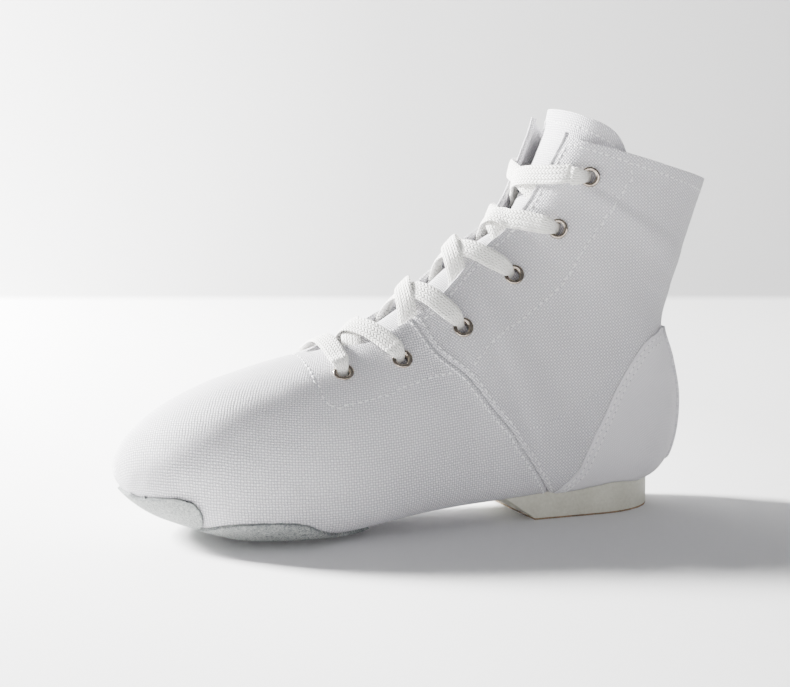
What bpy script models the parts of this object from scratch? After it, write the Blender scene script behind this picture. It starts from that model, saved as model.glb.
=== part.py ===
"""A lace-up canvas jazz boot for the left foot, on a split sole.

The frame: the toe points to -X, the little-toe side faces -Y and +Z is up.
The origin is on the floor, under the middle of the heel block.
"""

import math
from bisect import bisect
from collections import namedtuple

import bmesh
import bpy
from mathutils import Vector
from mathutils.bvhtree import BVHTree

# Driving sizes of the last, in metres
LENGTH = 0.2395
HEEL_BACK = 0.0457
BALL_WIDTH = 0.084
ANKLE_WIDTH = 0.061
COLLAR_WIDTH = 0.070
INSTEP_HEIGHT = 0.124
COLLAR_FRONT_HEIGHT = 0.156
HEEL_SEAT_HEIGHT = 0.0085
ANKLE_HEIGHT = 0.073
COLLAR_BACK_HEIGHT = 0.135
TOE_SPRING = 0.015
TOE_TIP_HEIGHT = 0.027
TOE_CAP_LENGTH = 0.034
TOE_NOSE_LENGTH = 0.016

# Walls and clearances
CLEARANCE = 0.0003
CURVED_CLEARANCE = 0.0005
WALL = 0.0018
SUEDE_THICKNESS = 0.0014
SUEDE_WEAR = 0.0004
INSOLE_THICKNESS = 0.0022
COUNTER_THICKNESS = 0.0009
BACK_STRIP_THICKNESS = 0.0010
BACK_STRIP_WIDTH = 0.0045
BACK_STRIP_FOLD_WIDTH = 0.0027
TONGUE_THICKNESS = 0.0016

# Eyelets, punched through the wall beside the throat
EYELET_FLANGE_RADIUS = 0.0041
EYELET_BORE_RADIUS = 0.0024
EYELET_METAL = 0.0004
EYELET_FLANGE_RISE = 0.0008
EYELET_BACK_RADIUS = 0.0034
EYELET_INSET = 0.0170
EYELET_SEAT = 0.0005
EYELET_BACK_GAP = 0.0011
EYELET_CUP = 0.0001
# How the flange rolls, as shares: its crown starts and ends across it, and the crown's end drops
EYELET_CROWN_START = 0.30
EYELET_CROWN_END = 0.85
EYELET_CROWN_DROP = 0.25

# Laces
LACE_WIDTH = 0.0078
LACE_THICKNESS = 0.0010
LACE_ROOM = 0.0021
LACE_LIFT = 0.0007
LACE_TUCK = 0.70
LACE_TUCK_INSIDE = 0.72
LACE_EDGE_SHARE = 0.13
LACE_SINK_END = 0.93

# Heel block
HEEL_WIDTH = 0.052
HEEL_FRONT = -0.026
HEEL_REAR = 0.0350
HEEL_BREAST_RAKE = 0.013
HEEL_ROUND_LENGTH = 0.030
TREAD_THICKNESS = 0.0013
HEEL_SEAT_EASE = 0.0018

# Sections of the last, from the toe tip to just above the collar.
# top_x and low_x are shares of LENGTH forward of the heel's back.
# top_level: 0 is the floor, 1 the bend of the instep, 2 the collar's front.
# low_level: -1 is the toe spring, 0 the tread, 1 the heel seat, 2 the ankle, 3 the collar's back.
# girth: 0 takes width from the ball, 1 from the ankle and 2 from the collar.
# lean moves the section to the big-toe side, as a share of BALL_WIDTH.
# widest is the share of the section's height where it is widest.
# crest and seat are the squareness of its upper and lower half.
# gap is the throat's half opening, as a share of THROAT_HALF_WIDTH.
Section = namedtuple(
    "Section", "name top_x top_level low_x low_level girth width lean widest crest seat gap"
)
SECTIONS = (
    Section("tip", 1.000, 0.339, 1.000, -1.00, 0, 0.635, 0.060, 0.45, 2.00, 2.3, 0.0),
    Section("nose", 0.958, 0.361, 0.958, -0.73, 0, 0.740, 0.055, 0.42, 2.00, 2.6, 0.0),
    Section("toes", 0.900, 0.427, 0.900, -0.39, 0, 0.847, 0.045, 0.37, 2.05, 3.2, 0.0),
    Section("tread", 0.825, 0.492, 0.825, -0.07, 0, 0.953, 0.025, 0.32, 2.05, 4.0, 0.0),
    Section("joint", 0.742, 0.540, 0.742, 0.00, 0, 1.000, 0.008, 0.29, 2.00, 4.4, 0.0),
    Section("ball", 0.667, 0.577, 0.663, 0.06, 0, 0.988, -0.010, 0.28, 1.95, 4.4, 0.0),
    Section("throat", 0.601, 0.629, 0.584, 0.30, 0, 0.930, -0.025, 0.28, 1.85, 3.8, 1.0),
    Section("waist", 0.534, 0.704, 0.489, 0.58, 0, 0.847, -0.030, 0.29, 1.80, 3.4, 1.12),
    Section("arch", 0.476, 0.780, 0.385, 0.78, 0, 0.788, -0.025, 0.31, 1.80, 3.6, 1.12),
    Section("instep", 0.430, 0.847, 0.277, 0.94, 1, 1.060, -0.012, 0.33, 1.85, 4.0, 1.0),
    Section("heel", 0.393, 0.899, 0.168, 1.00, 1, 1.040, 0.000, 0.36, 1.90, 4.0, 0.9),
    Section("seat", 0.364, 0.934, 0.085, 1.03, 1, 1.020, 0.000, 0.40, 1.95, 3.8, 0.8),
    Section("seat back", 0.343, 0.954, 0.035, 1.11, 1, 1.005, 0.000, 0.43, 2.00, 3.2, 0.78),
    Section("heel low", 0.329, 0.974, 0.008, 1.29, 1, 0.990, 0.000, 0.46, 2.00, 2.8, 0.76),
    Section("heel bulge", 0.318, 0.990, 0.000, 1.53, 1, 0.980, 0.000, 0.48, 2.00, 2.6, 0.76),
    Section("heel high", 0.308, 1.040, 0.011, 1.77, 1, 0.975, 0.000, 0.50, 2.05, 2.5, 0.78),
    Section("ankle", 0.292, 1.200, 0.029, 2.00, 1, 0.975, 0.000, 0.50, 2.10, 2.4, 0.85),
    Section("shaft low", 0.277, 1.410, 0.013, 2.24, 1, 1.010, 0.000, 0.50, 2.15, 2.3, 0.95),
    Section("shaft middle", 0.262, 1.635, -0.010, 2.53, 1, 1.060, 0.000, 0.50, 2.20, 2.3, 1.1),
    Section("shaft high", 0.249, 1.840, -0.030, 2.78, 2, 0.965, 0.000, 0.50, 2.20, 2.3, 1.2),
    Section("collar", 0.239, 2.000, -0.049, 3.00, 2, 1.000, 0.000, 0.50, 2.20, 2.3, 1.25),
    Section("above", 0.2245, 2.340, -0.067, 3.24, 2, 1.037, 0.000, 0.50, 2.20, 2.3, 1.25),
)
ROW = {section.name: index for index, section in enumerate(SECTIONS)}

# The seam between vamp and quarters: the rows it lies on, from the throat, share 0, to underneath, share 1
Seam = namedtuple("Seam", "share row")
SEAM = (
    Seam(0.00, 7.37),
    Seam(0.13, 7.58),
    Seam(0.23, 8.07),
    Seam(0.34, 8.40),
    Seam(0.42, 8.65),
    Seam(0.50, 8.85),
    Seam(0.75, 9.04),
    Seam(1.00, 9.10),
)
SEAM_ROW = ROW["arch"]
SEAM_BEND_START = 5.5
SEAM_BEND_END = 12.0

# The throat: a slit along the crest that the laces close. It opens round over a share of a row.
THROAT_HALF_WIDTH = 0.0118
THROAT_START = ROW["ball"] - 0.08
THROAT_ROUNDING = 0.45

# Eyelet pairs, counted from the toe: the row of the last that each one lies on, and its place from the edge
EyeletPair = namedtuple("EyeletPair", "row inset")
EYELET_PAIRS = (
    EyeletPair(5.36, 1.14),
    EyeletPair(6.76, 0.83),
    EyeletPair(8.42, 1.01),
    EyeletPair(10.84, 1.00),
    EyeletPair(15.65, 1.06),
    EyeletPair(18.31, 1.10),
)

# Sheets that the overlays and the insole are cut from: rows of the last, and columns on each side
CutSheet = namedtuple("CutSheet", "first last columns")
TOE_PATCH_SHEET = CutSheet(0, 3.6, 9)
BALL_PATCH_SHEET = CutSheet(1.4, 8.7, 8)
COUNTER_SHEET = CutSheet(7.5, 18, 10)
INSOLE_SHEET = CutSheet(0.3, 14, 4)

# Outlines of the overlays, seen from the side. length runs from the named end, height from the floor.
SidePoint = namedtuple("SidePoint", "length height")

# Toe patch, from the toe tip back
TOE_PATCH_LENGTH = 0.0275
TOE_PATCH_HEIGHT = 0.0238
TOE_PATCH = (
    SidePoint(-0.60, 1.02),
    SidePoint(0.00, 1.00),
    SidePoint(0.50, 0.92),
    SidePoint(0.80, 0.80),
    SidePoint(0.97, 0.60),
    SidePoint(1.00, 0.20),
    SidePoint(1.00, -0.60),
    SidePoint(-0.60, -0.60),
)

# Ball patch, from its front edge back. The notch at its front shows the canvas.
PATCH_GAP = 0.0012
BALL_PATCH_LENGTH = 0.0725
BALL_PATCH_HEIGHT = 0.0113
BALL_PATCH = (
    SidePoint(0.00, -1.00),
    SidePoint(0.00, 0.50),
    SidePoint(0.01, 0.72),
    SidePoint(0.12, 0.76),
    SidePoint(0.155, 1.00),
    SidePoint(0.30, 0.93),
    SidePoint(0.45, 0.88),
    SidePoint(0.61, 0.52),
    SidePoint(0.70, 0.39),
    SidePoint(0.86, 0.48),
    SidePoint(1.10, 0.36),
    SidePoint(1.10, -1.00),
)
BALL_PATCH_MIDDLE = 0.45
BALL_PATCH_HALF_WIDTH = 0.62

# Heel counter, from the heel's back forward
COUNTER_LENGTH = 0.0700
COUNTER_HEIGHT = 0.0770
COUNTER = (
    SidePoint(-0.30, 1.03),
    SidePoint(0.10, 1.00),
    SidePoint(0.25, 0.98),
    SidePoint(0.42, 0.85),
    SidePoint(0.60, 0.60),
    SidePoint(0.78, 0.27),
    SidePoint(0.92, 0.14),
    SidePoint(1.00, 0.02),
    SidePoint(1.02, -0.20),
    SidePoint(-0.30, -0.20),
)
BACK_STRIP_ROWS = (12.2, 15.7)

# Insole, inside the upper: how far it stays from the toe tip and from the heel's back
INSOLE_FRONT = 0.012
INSOLE_BACK = 0.010

# The tongue: rows it starts and ends at, and how far round it reaches, in degrees from the crest
Reach = namedtuple("Reach", "row degrees")
TONGUE_START = 4.35
TONGUE_TOP = 20.95
TONGUE_TOP_FALL = 1.25
TONGUE_SEWN_ROWS = (4.45, 5.0)
TONGUE_REACH = (Reach(4.35, 20), Reach(4.9, 34), Reach(8.0, 50), Reach(14.0, 62), Reach(21.0, 74))

# Mesh density. The upper's rows lie closer at the toe tip and round the throat's end.
UPPER_COLUMNS = 32
TIP_ROWS = (0.0, 0.05, 0.16, 0.35, 0.65, 1.0, 1.5, 2.0, 2.75, 3.5, 4.25)
THROAT_END_SHARES = (0, 0.03, 0.14, 0.4, 1)
EYELET_STEPS = 9
LACE_STEPS = 10
TONGUE_STEPS = (16, 8)
HEEL_STEPS = (16, 10)
TREAD_STEPS = (12, 8)
BACK_STRIP_STEPS = (10, 2)
SEAT_PROBES = 8
OUTLINE_STEPS = 3


def between(levels, value):
    """Reads a list of sizes at a place between two of its entries."""
    index = min(max(int(math.floor(value)), 0), len(levels) - 2)
    return levels[index] + (levels[index + 1] - levels[index]) * (value - index)


def smooth_column(name, u):
    """A column of SECTIONS at row u, on a cubic through the rows."""
    last = len(SECTIONS) - 1
    index = min(max(int(math.floor(u)), 0), last - 1)
    share = u - index
    values = [getattr(SECTIONS[min(max(index + step, 0), last)], name) for step in (-1, 0, 1, 2)]
    before, start, end, after = values
    leave = (end - before) / (2 if index > 0 else 1)
    arrive = (after - start) / (2 if index < last - 1 else 1)
    square, cube = share * share, share * share * share
    return (
        start * (2 * cube - 3 * square + 1)
        + leave * (cube - 2 * square + share)
        + end * (3 * square - 2 * cube)
        + arrive * (cube - square)
    )


def swell(distance, reach):
    """Grows from 0 at the toe tip to 1 at the end of its reach, as an ellipse does."""
    short = 1 - min(max(distance / reach, 0), 1)
    return math.sqrt(max(1 - short * short, 0))


Ring = namedtuple("Ring", "top low half_width middle widest crest seat")


def ring_at(u):
    """The real size and place of the last's section at row u."""
    read = {name: smooth_column(name, u) for name in Section._fields[1:]}
    stack = SUEDE_THICKNESS - SUEDE_WEAR + CURVED_CLEARANCE
    top_z = between((0, INSTEP_HEIGHT, COLLAR_FRONT_HEIGHT), read["top_level"])
    low_levels = (stack + TOE_SPRING, stack, HEEL_SEAT_HEIGHT, ANKLE_HEIGHT, COLLAR_BACK_HEIGHT)
    low_z = between(low_levels, read["low_level"] + 1)
    top_x = HEEL_BACK - read["top_x"] * LENGTH
    low_x = HEEL_BACK - read["low_x"] * LENGTH
    from_tip = top_x - (HEEL_BACK - LENGTH)
    nose = swell(from_tip, TOE_NOSE_LENGTH)
    top_z = TOE_TIP_HEIGHT + (top_z - TOE_TIP_HEIGHT) * nose
    low_z = TOE_TIP_HEIGHT + (low_z - TOE_TIP_HEIGHT) * nose
    widths = (BALL_WIDTH, ANKLE_WIDTH, COLLAR_WIDTH)
    half_width = between(widths, read["girth"]) * read["width"] / 2 * swell(from_tip, TOE_CAP_LENGTH)
    return Ring(
        Vector((top_x, 0, top_z)),
        Vector((low_x, 0, low_z)),
        half_width,
        read["lean"] * BALL_WIDTH,
        read["widest"],
        read["crest"],
        read["seat"],
    )


def last_point(u, angle):
    """The shoe's outside. angle is 0 on the crest, pi underneath and positive on the little-toe side."""
    ring = ring_at(u)
    cosine, sine = math.cos(angle), math.sin(angle)
    power = 2 / (ring.crest if cosine >= 0 else ring.seat)
    reach = 1 - ring.widest if cosine >= 0 else -ring.widest
    height = ring.widest + reach * abs(cosine) ** power
    side = math.copysign(abs(sine) ** power, sine)
    point = ring.low.lerp(ring.top, height)
    point.y = ring.middle - side * ring.half_width
    return point


def last_normal(u, angle):
    """The outward normal of the shoe's outside. The toe tip faces straight forward."""
    if u <= 0:
        return Vector((-1, 0, 0))
    step = 0.02
    ahead, behind = min(u + step, len(SECTIONS) - 1), max(u - step, 0)
    along = last_point(ahead, angle) - last_point(behind, angle)
    around = last_point(u, angle + step) - last_point(u, angle - step)
    return around.cross(along).normalized()


def skin(u, angle, height):
    """A point that stands off the shoe's outside, or lies inside it where height is negative."""
    return last_point(u, angle) + last_normal(u, angle) * height


def throat_half_width(u):
    """Half the throat's opening at row u."""
    share = min(max((u - THROAT_START) / THROAT_ROUNDING, 0), 1)
    width = THROAT_HALF_WIDTH * smooth_column("gap", max(u, THROAT_START + THROAT_ROUNDING))
    return width * math.sqrt(1 - (1 - share) ** 2)


def throat_angle(u):
    """The angle of the throat's edge at row u."""
    ring = ring_at(u)
    share = min(throat_half_width(u) / ring.half_width, 1)
    return math.asin(share ** (ring.crest / 2))


def angle_at_inset(u, inset):
    """The angle at a distance from the throat's edge, measured over the surface."""
    angle, left, step = throat_angle(u), inset, math.radians(0.5)
    while True:
        length = (last_point(u, angle + step) - last_point(u, angle)).length
        if length >= left:
            return angle + step * left / length
        left -= length
        angle += step


def reach_at(outline, u):
    """How far an outline reaches at row u, in radians."""
    for low, high in zip(outline, outline[1:]):
        if u <= high.row:
            share = (u - low.row) / (high.row - low.row)
            return math.radians(low.degrees + (high.degrees - low.degrees) * share)
    return math.radians(outline[-1].degrees)


def crest_lengths():
    """The length of the crest from the toe tip, at even steps of a row."""
    lengths, point = [0.0], last_point(0, 0)
    for step in range(1, (len(SECTIONS) - 1) * CREST_STEPS + 1):
        ahead = last_point(step / CREST_STEPS, 0)
        lengths.append(lengths[-1] + (ahead - point).length)
        point = ahead
    return lengths


def crest_length(u):
    return between(CREST_LENGTHS, u * CREST_STEPS)


def row_at_length(length):
    """The row at a length along the crest."""
    step = bisect(CREST_LENGTHS, length) - 1
    start, end = CREST_LENGTHS[step], CREST_LENGTHS[step + 1]
    return (step + (length - start) / (end - start)) / CREST_STEPS


CREST_STEPS = 10
CREST_LENGTHS = crest_lengths()


def clear_scene():
    for item in list(bpy.data.objects):
        bpy.data.objects.remove(item)


def make_collection(name):
    collection = bpy.data.collections.new(name)
    bpy.context.scene.collection.children.link(collection)
    return collection


def make_finish(name, colour, roughness, metallic=0.0):
    finish = bpy.data.materials.new(name)
    finish.use_nodes = True
    shader = finish.node_tree.nodes["Principled BSDF"]
    shader.inputs["Base Color"].default_value = (*colour, 1)
    shader.inputs["Roughness"].default_value = roughness
    shader.inputs["Metallic"].default_value = metallic
    return finish


clear_scene()
SHOE = make_collection("jazz_boot")
PUNCHES = make_collection("jazz_boot_punches")
STRAPS = make_collection("jazz_boot_crossed_straps")
FORMS = make_collection("jazz_boot_forms")


def add_object(name, mesh, finish, collection=SHOE):
    """Turns an edit mesh into a named object, with its faces pointing out."""
    if mesh.calc_volume(signed=True) < 0:
        bmesh.ops.reverse_faces(mesh, faces=mesh.faces)
    data = bpy.data.meshes.new(name)
    mesh.to_mesh(data)
    mesh.free()
    if finish:
        data.materials.append(finish)
    data.shade_smooth()
    item = bpy.data.objects.new(name, data)
    collection.objects.link(item)
    return item


def slab(name, place, rows, columns, finish):
    """A closed sheet. place(s, t, face) is a point of its inner face, 0, or of its outer face, 1."""
    mesh = bmesh.new()
    bmesh.ops.create_grid(mesh, x_segments=rows, y_segments=columns, size=1)
    made = bmesh.ops.extrude_face_region(mesh, geom=mesh.faces[:], use_keep_orig=True)
    raised = [item for item in made["geom"] if isinstance(item, bmesh.types.BMVert)]
    bmesh.ops.translate(mesh, verts=raised, vec=(0, 0, 1))
    for vertex in mesh.verts:
        s, t, face = (vertex.co.x + 1) / 2, (vertex.co.y + 1) / 2, round(vertex.co.z)
        vertex.co = place(s, t, face)
    bmesh.ops.remove_doubles(mesh, verts=mesh.verts, dist=1e-6)
    bmesh.ops.recalc_face_normals(mesh, faces=mesh.faces)
    return add_object(name, mesh, finish)


def upper_rows():
    """The rows of the upper's mesh: closer at the toe, round the throat's end and at the bend."""
    throat_end = [THROAT_START + THROAT_ROUNDING * share for share in THROAT_END_SHARES]
    return [*TIP_ROWS, *throat_end, *(float(row) for row in range(ROW["throat"], ROW["collar"] + 1))]


def seam_row(share):
    """The row of the seam at a share of the way from the throat to underneath."""
    for near, far in zip(SEAM, SEAM[1:]):
        if share <= far.share:
            return near.row + (far.row - near.row) * (share - near.share) / (far.share - near.share)
    return SEAM[-1].row


def mesh_place(row, column):
    """The row and angle of a corner of the upper's mesh, whose rows bend so that one is the seam."""
    turn = column / UPPER_COLUMNS
    reach = SEAM_ROW - SEAM_BEND_START if row < SEAM_ROW else SEAM_BEND_END - SEAM_ROW
    near = max(1 - abs(row - SEAM_ROW) / reach, 0)
    u = row + (seam_row(2 * min(turn, 1 - turn)) - SEAM_ROW) * near * near * (3 - 2 * near)
    start = throat_angle(u) if u > THROAT_START else 0
    return u, start + (2 * math.pi - 2 * start) * turn


def build_wall(name, rows, columns, finish):
    """A piece of the upper's wall, between two rows and two columns of the upper's mesh."""
    first, last = columns
    middle = UPPER_COLUMNS // 2

    def wall_point(row, column, depth):
        point = skin(*mesh_place(row, column), -depth)
        if column == middle and middle in columns:
            point.y += CLEARANCE / 2 * (1 if first == middle else -1)
        return point

    mesh = bmesh.new()
    bmesh.ops.create_grid(mesh, x_segments=len(rows) - 1, y_segments=last - first, size=1)
    row_of = mesh.verts.layers.float.new("row")
    column_of = mesh.verts.layers.float.new("column")
    for vertex in mesh.verts:
        vertex[row_of] = rows[round((vertex.co.x + 1) / 2 * (len(rows) - 1))]
        vertex[column_of] = first + round((vertex.co.y + 1) / 2 * (last - first))
        vertex.co = wall_point(vertex[row_of], vertex[column_of], 0)
    bmesh.ops.remove_doubles(mesh, verts=mesh.verts, dist=1e-5)
    made = bmesh.ops.extrude_face_region(mesh, geom=mesh.faces[:], use_keep_orig=True)
    for vertex in made["geom"]:
        if isinstance(vertex, bmesh.types.BMVert):
            vertex.co = wall_point(vertex[row_of], vertex[column_of], WALL)
    bmesh.ops.recalc_face_normals(mesh, faces=mesh.faces)
    return add_object(name, mesh, finish)


def build_upper(finish):
    """The vamp, then the two quarters, which part along the heel's back seam and underneath."""
    rows = upper_rows()
    gap = CLEARANCE / (crest_length(SEAM_ROW + 1) - crest_length(SEAM_ROW))
    front = [row for row in rows if row < SEAM_ROW] + [SEAM_ROW - gap / 2]
    back = [SEAM_ROW + gap / 2] + [row for row in rows if row > SEAM_ROW]
    half = UPPER_COLUMNS // 2
    return (
        build_wall("vamp", front, (0, UPPER_COLUMNS), finish),
        build_wall("quarter_out", back, (0, half), finish),
        build_wall("quarter_in", back, (half, UPPER_COLUMNS), finish),
    )


def sheet_on_last(name, sheet, heights, finish, floor=None):
    """A sheet on the upper's own rows and columns, between two heights. A floor wears it flat."""
    rows = [row for row in upper_rows() if sheet.first <= row <= sheet.last]
    first, last = UPPER_COLUMNS // 2 - sheet.columns, UPPER_COLUMNS // 2 + sheet.columns

    def place(s, t, face):
        row, column = rows[round(s * (len(rows) - 1))], first + round(t * (last - first))
        point = skin(*mesh_place(row, column), heights[face])
        if face and floor is not None:
            point.z = max(point.z, floor)
        return point

    return slab(name, place, len(rows) - 1, last - first, finish)


def smooth_outline(points, steps=OUTLINE_STEPS):
    """A closed outline through a few points, rounded between them."""
    count = len(points)
    outline = []
    for index in range(count):
        before, start, end, after = (Vector(points[(index + step) % count]) for step in (-1, 0, 1, 2))
        for step in range(steps):
            share = step / steps
            leave, arrive = (end - before) / 4, (after - start) / 4
            square, cube = share**2, share**3
            outline.append(
                start * (2 * cube - 3 * square + 1)
                + leave * (cube - 2 * square + share)
                + end * (3 * square - 2 * cube)
                + arrive * (cube - square)
            )
    return outline


def cut_to(item, name, outline, axis):
    """Keeps what lies inside an outline that is extruded along an axis."""
    far = 2 * BALL_WIDTH
    mesh = bmesh.new()
    for a, b in outline:
        mesh.verts.new((a, -far, b) if axis == "Y" else (a, b, -far))
    bmesh.ops.contextual_create(mesh, geom=mesh.verts[:])
    made = bmesh.ops.extrude_face_region(mesh, geom=mesh.faces[:], use_keep_orig=True)
    raised = [part for part in made["geom"] if isinstance(part, bmesh.types.BMVert)]
    bmesh.ops.translate(mesh, verts=raised, vec=(0, 2 * far, 0) if axis == "Y" else (0, 0, 2 * far))
    bmesh.ops.recalc_face_normals(mesh, faces=mesh.faces)
    form = add_object(f"{item.name}_{name}", mesh, None, FORMS)
    form.hide_render = True
    form.display_type = "WIRE"
    cut = item.modifiers.new(name, "BOOLEAN")
    cut.operation = "INTERSECT"
    cut.object = form
    cut.solver = "EXACT"


def side_outline(points, start, length, height, direction):
    """An overlay's outline in the real sizes, from its start along X."""
    return smooth_outline([(start + direction * length * p.length, height * p.height) for p in points])


def ellipse(centre, half_length, half_width, steps=32):
    """A plan outline about a centre on the X axis."""
    turns = [math.tau * step / steps for step in range(steps)]
    return [(centre + half_length * math.cos(turn), half_width * math.sin(turn)) for turn in turns]


def build_soles(finish):
    """The two suede patches of the split sole: one at the toe, one under the ball."""
    heights = (CURVED_CLEARANCE, CURVED_CLEARANCE + SUEDE_THICKNESS)
    tip = HEEL_BACK - LENGTH - heights[1]
    toe = sheet_on_last("toe_patch", TOE_PATCH_SHEET, heights, finish, floor=0)
    cut_to(toe, "outline", side_outline(TOE_PATCH, tip, TOE_PATCH_LENGTH, TOE_PATCH_HEIGHT, 1), "Y")
    front = tip + TOE_PATCH_LENGTH + PATCH_GAP
    ball = sheet_on_last("ball_patch", BALL_PATCH_SHEET, heights, finish, floor=0)
    middle, half_width = front + BALL_PATCH_MIDDLE * BALL_PATCH_LENGTH, BALL_PATCH_HALF_WIDTH * BALL_WIDTH
    cut_to(ball, "round_end", ellipse(middle, (1 - BALL_PATCH_MIDDLE) * BALL_PATCH_LENGTH, half_width), "Z")
    cut_to(ball, "outline", side_outline(BALL_PATCH, front, BALL_PATCH_LENGTH, BALL_PATCH_HEIGHT, 1), "Y")


def build_counter(finish):
    """The heel counter: an outer layer of cloth that cups the heel."""
    heights = (CURVED_CLEARANCE, CURVED_CLEARANCE + COUNTER_THICKNESS)
    counter = sheet_on_last("counter", COUNTER_SHEET, heights, finish)
    outline = side_outline(COUNTER, HEEL_BACK + heights[1], COUNTER_LENGTH, COUNTER_HEIGHT, -1)
    cut_to(counter, "outline", outline, "Y")
    return counter


def build_insole(finish):
    """The insole: it lies on the upper's inner underside, rounded at toe and heel."""
    low = -WALL - CURVED_CLEARANCE
    heights = (low - INSOLE_THICKNESS, low)
    insole = sheet_on_last("insole", INSOLE_SHEET, heights, finish)
    start, end = HEEL_BACK - LENGTH + INSOLE_FRONT, HEEL_BACK - INSOLE_BACK
    outline = ellipse((start + end) / 2, (end - start) / 2, BALL_WIDTH)
    cut_to(insole, "outline", outline, "Z")


def eyelet_places():
    """The point and outward normal of each eyelet, as (pair, side, point, normal, row, angle)."""
    places = []
    for pair, eyelet in enumerate(EYELET_PAIRS):
        for side in (1, -1):
            angle = side * angle_at_inset(eyelet.row, EYELET_INSET * eyelet.inset)
            point = last_point(eyelet.row, angle)
            places.append((pair, side, point, last_normal(eyelet.row, angle), eyelet.row, angle))
    return places


def punch_eyelet_holes(walls, places):
    barrel = EYELET_BORE_RADIUS + EYELET_METAL
    for pair, side, point, normal, _, _ in places:
        mesh = bmesh.new()
        bmesh.ops.create_cone(
            mesh,
            cap_ends=True,
            segments=EYELET_STEPS,
            radius1=barrel + CLEARANCE,
            radius2=barrel + CLEARANCE,
            depth=6 * WALL,
        )
        punch = add_object(f"eyelet_punch_{pair + 1}_{'out' if side > 0 else 'in'}", mesh, None, PUNCHES)
        punch.location = point
        punch.rotation_mode = "QUATERNION"
        punch.rotation_quaternion = normal.to_track_quat("Z", "Y")
        punch.hide_render = True
        punch.display_type = "WIRE"
    for wall in walls:
        holes = wall.modifiers.new("eyelet holes", "BOOLEAN")
        holes.operand_type = "COLLECTION"
        holes.collection = PUNCHES
        holes.solver = "EXACT"


def build_eyelets(places, finish):
    """Turned rings: a rolled flange outside, a barrel through the wall and a smaller flange inside."""
    bore, barrel = EYELET_BORE_RADIUS, EYELET_BORE_RADIUS + EYELET_METAL
    seat = EYELET_SEAT
    top = seat + EYELET_FLANGE_RISE
    back = -WALL - EYELET_BACK_GAP
    flange = EYELET_FLANGE_RADIUS - bore
    profile = (
        (bore + EYELET_CROWN_START * flange, top),
        (bore + EYELET_CROWN_END * flange, top - EYELET_CROWN_DROP * EYELET_FLANGE_RISE),
        (EYELET_FLANGE_RADIUS, seat),
        (barrel, seat + EYELET_CUP),
        (barrel, back),
        (EYELET_BACK_RADIUS, back - EYELET_METAL / 2),
        (bore, back - EYELET_METAL),
    )
    mesh = bmesh.new()
    corners = [mesh.verts.new((radius, 0, height)) for radius, height in profile]
    for start, end in zip(corners, corners[1:] + corners[:1]):
        mesh.edges.new((start, end))
    ring = bpy.data.meshes.new("eyelet")
    mesh.to_mesh(ring)
    mesh.free()
    ring.materials.append(finish)
    for pair, side, point, normal, _, _ in places:
        item = bpy.data.objects.new(f"eyelet_{pair + 1}_{'out' if side > 0 else 'in'}", ring)
        SHOE.objects.link(item)
        turn = item.modifiers.new("turn", "SCREW")
        turn.steps = turn.render_steps = EYELET_STEPS
        turn.use_merge_vertices = True
        turn.merge_threshold = 0.00001
        item.location = point
        item.rotation_mode = "QUATERNION"
        item.rotation_quaternion = normal.to_track_quat("Z", "Y")


def build_tongue(finish):
    """A broad strip inside the throat, sewn to the vamp and standing above the collar."""
    sewn, free = WALL + CLEARANCE, WALL + LACE_ROOM

    def place(s, t, face):
        across = 2 * t - 1
        top = TONGUE_TOP - TONGUE_TOP_FALL * across * across
        u = TONGUE_START + (top - TONGUE_START) * s
        first, last = TONGUE_SEWN_ROWS
        drop = min(max((u - first) / (last - first), 0), 1)
        depth = sewn + (free - sewn) * drop + (0 if face else TONGUE_THICKNESS)
        return skin(u, across * reach_at(TONGUE_REACH, u), -depth)

    return slab("tongue", place, *TONGUE_STEPS, finish)


def build_back_strip(finish):
    """The raised strip over the counter's back seam."""
    inner = 2 * CURVED_CLEARANCE + COUNTER_THICKNESS
    start, end = BACK_STRIP_ROWS

    def place(s, t, face):
        point = skin(start + (end - start) * s, math.pi, inner + (BACK_STRIP_THICKNESS if face else 0))
        point.y += (2 * t - 1) * (BACK_STRIP_FOLD_WIDTH if face else BACK_STRIP_WIDTH) / 2
        return point

    return slab("back_strip", place, *BACK_STRIP_STEPS, finish)


def heel_outline(share, across, front):
    """A point of the heel's plan: straight at the front and round at the back."""
    x = front + (HEEL_REAR - front) * share
    from_round = max(x - (HEEL_REAR - HEEL_ROUND_LENGTH), 0) / HEEL_ROUND_LENGTH
    return x, across * HEEL_WIDTH / 2 * math.sqrt(max(1 - from_round * from_round, 0))


def build_heel(finish, carried):
    """The block under the heel seat, raked at the breast. Its top follows what it carries."""
    depsgraph = bpy.context.evaluated_depsgraph_get()
    trees = [BVHTree.FromObject(item, depsgraph) for item in carried]

    def seat_height(x, y):
        spots = [(x, y)]
        for step in range(SEAT_PROBES):
            turn = math.tau * step / SEAT_PROBES
            spots.append((x + HEEL_SEAT_EASE * math.cos(turn), y + HEEL_SEAT_EASE * math.sin(turn)))
        hits = [tree.ray_cast(Vector((*spot, -1)), Vector((0, 0, 1)))[0] for tree in trees for spot in spots]
        return min(hit.z for hit in hits if hit) - CURVED_CLEARANCE

    def place(s, t, face):
        share = math.sin(s * math.pi / 2)
        x, y = heel_outline(share, 2 * t - 1, HEEL_FRONT - (0 if face else HEEL_BREAST_RAKE))
        return Vector((x, y, TREAD_THICKNESS if face else seat_height(x, y)))

    return slab("heel", place, *HEEL_STEPS, finish)


def build_heel_tread(finish):
    """The thin walking layer under the heel block."""

    def place(s, t, face):
        x, y = heel_outline(math.sin(s * math.pi / 2), 2 * t - 1, HEEL_FRONT)
        return Vector((x, y, 0 if face else TREAD_THICKNESS))

    return slab("heel_tread", place, *TREAD_STEPS, finish)


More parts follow.
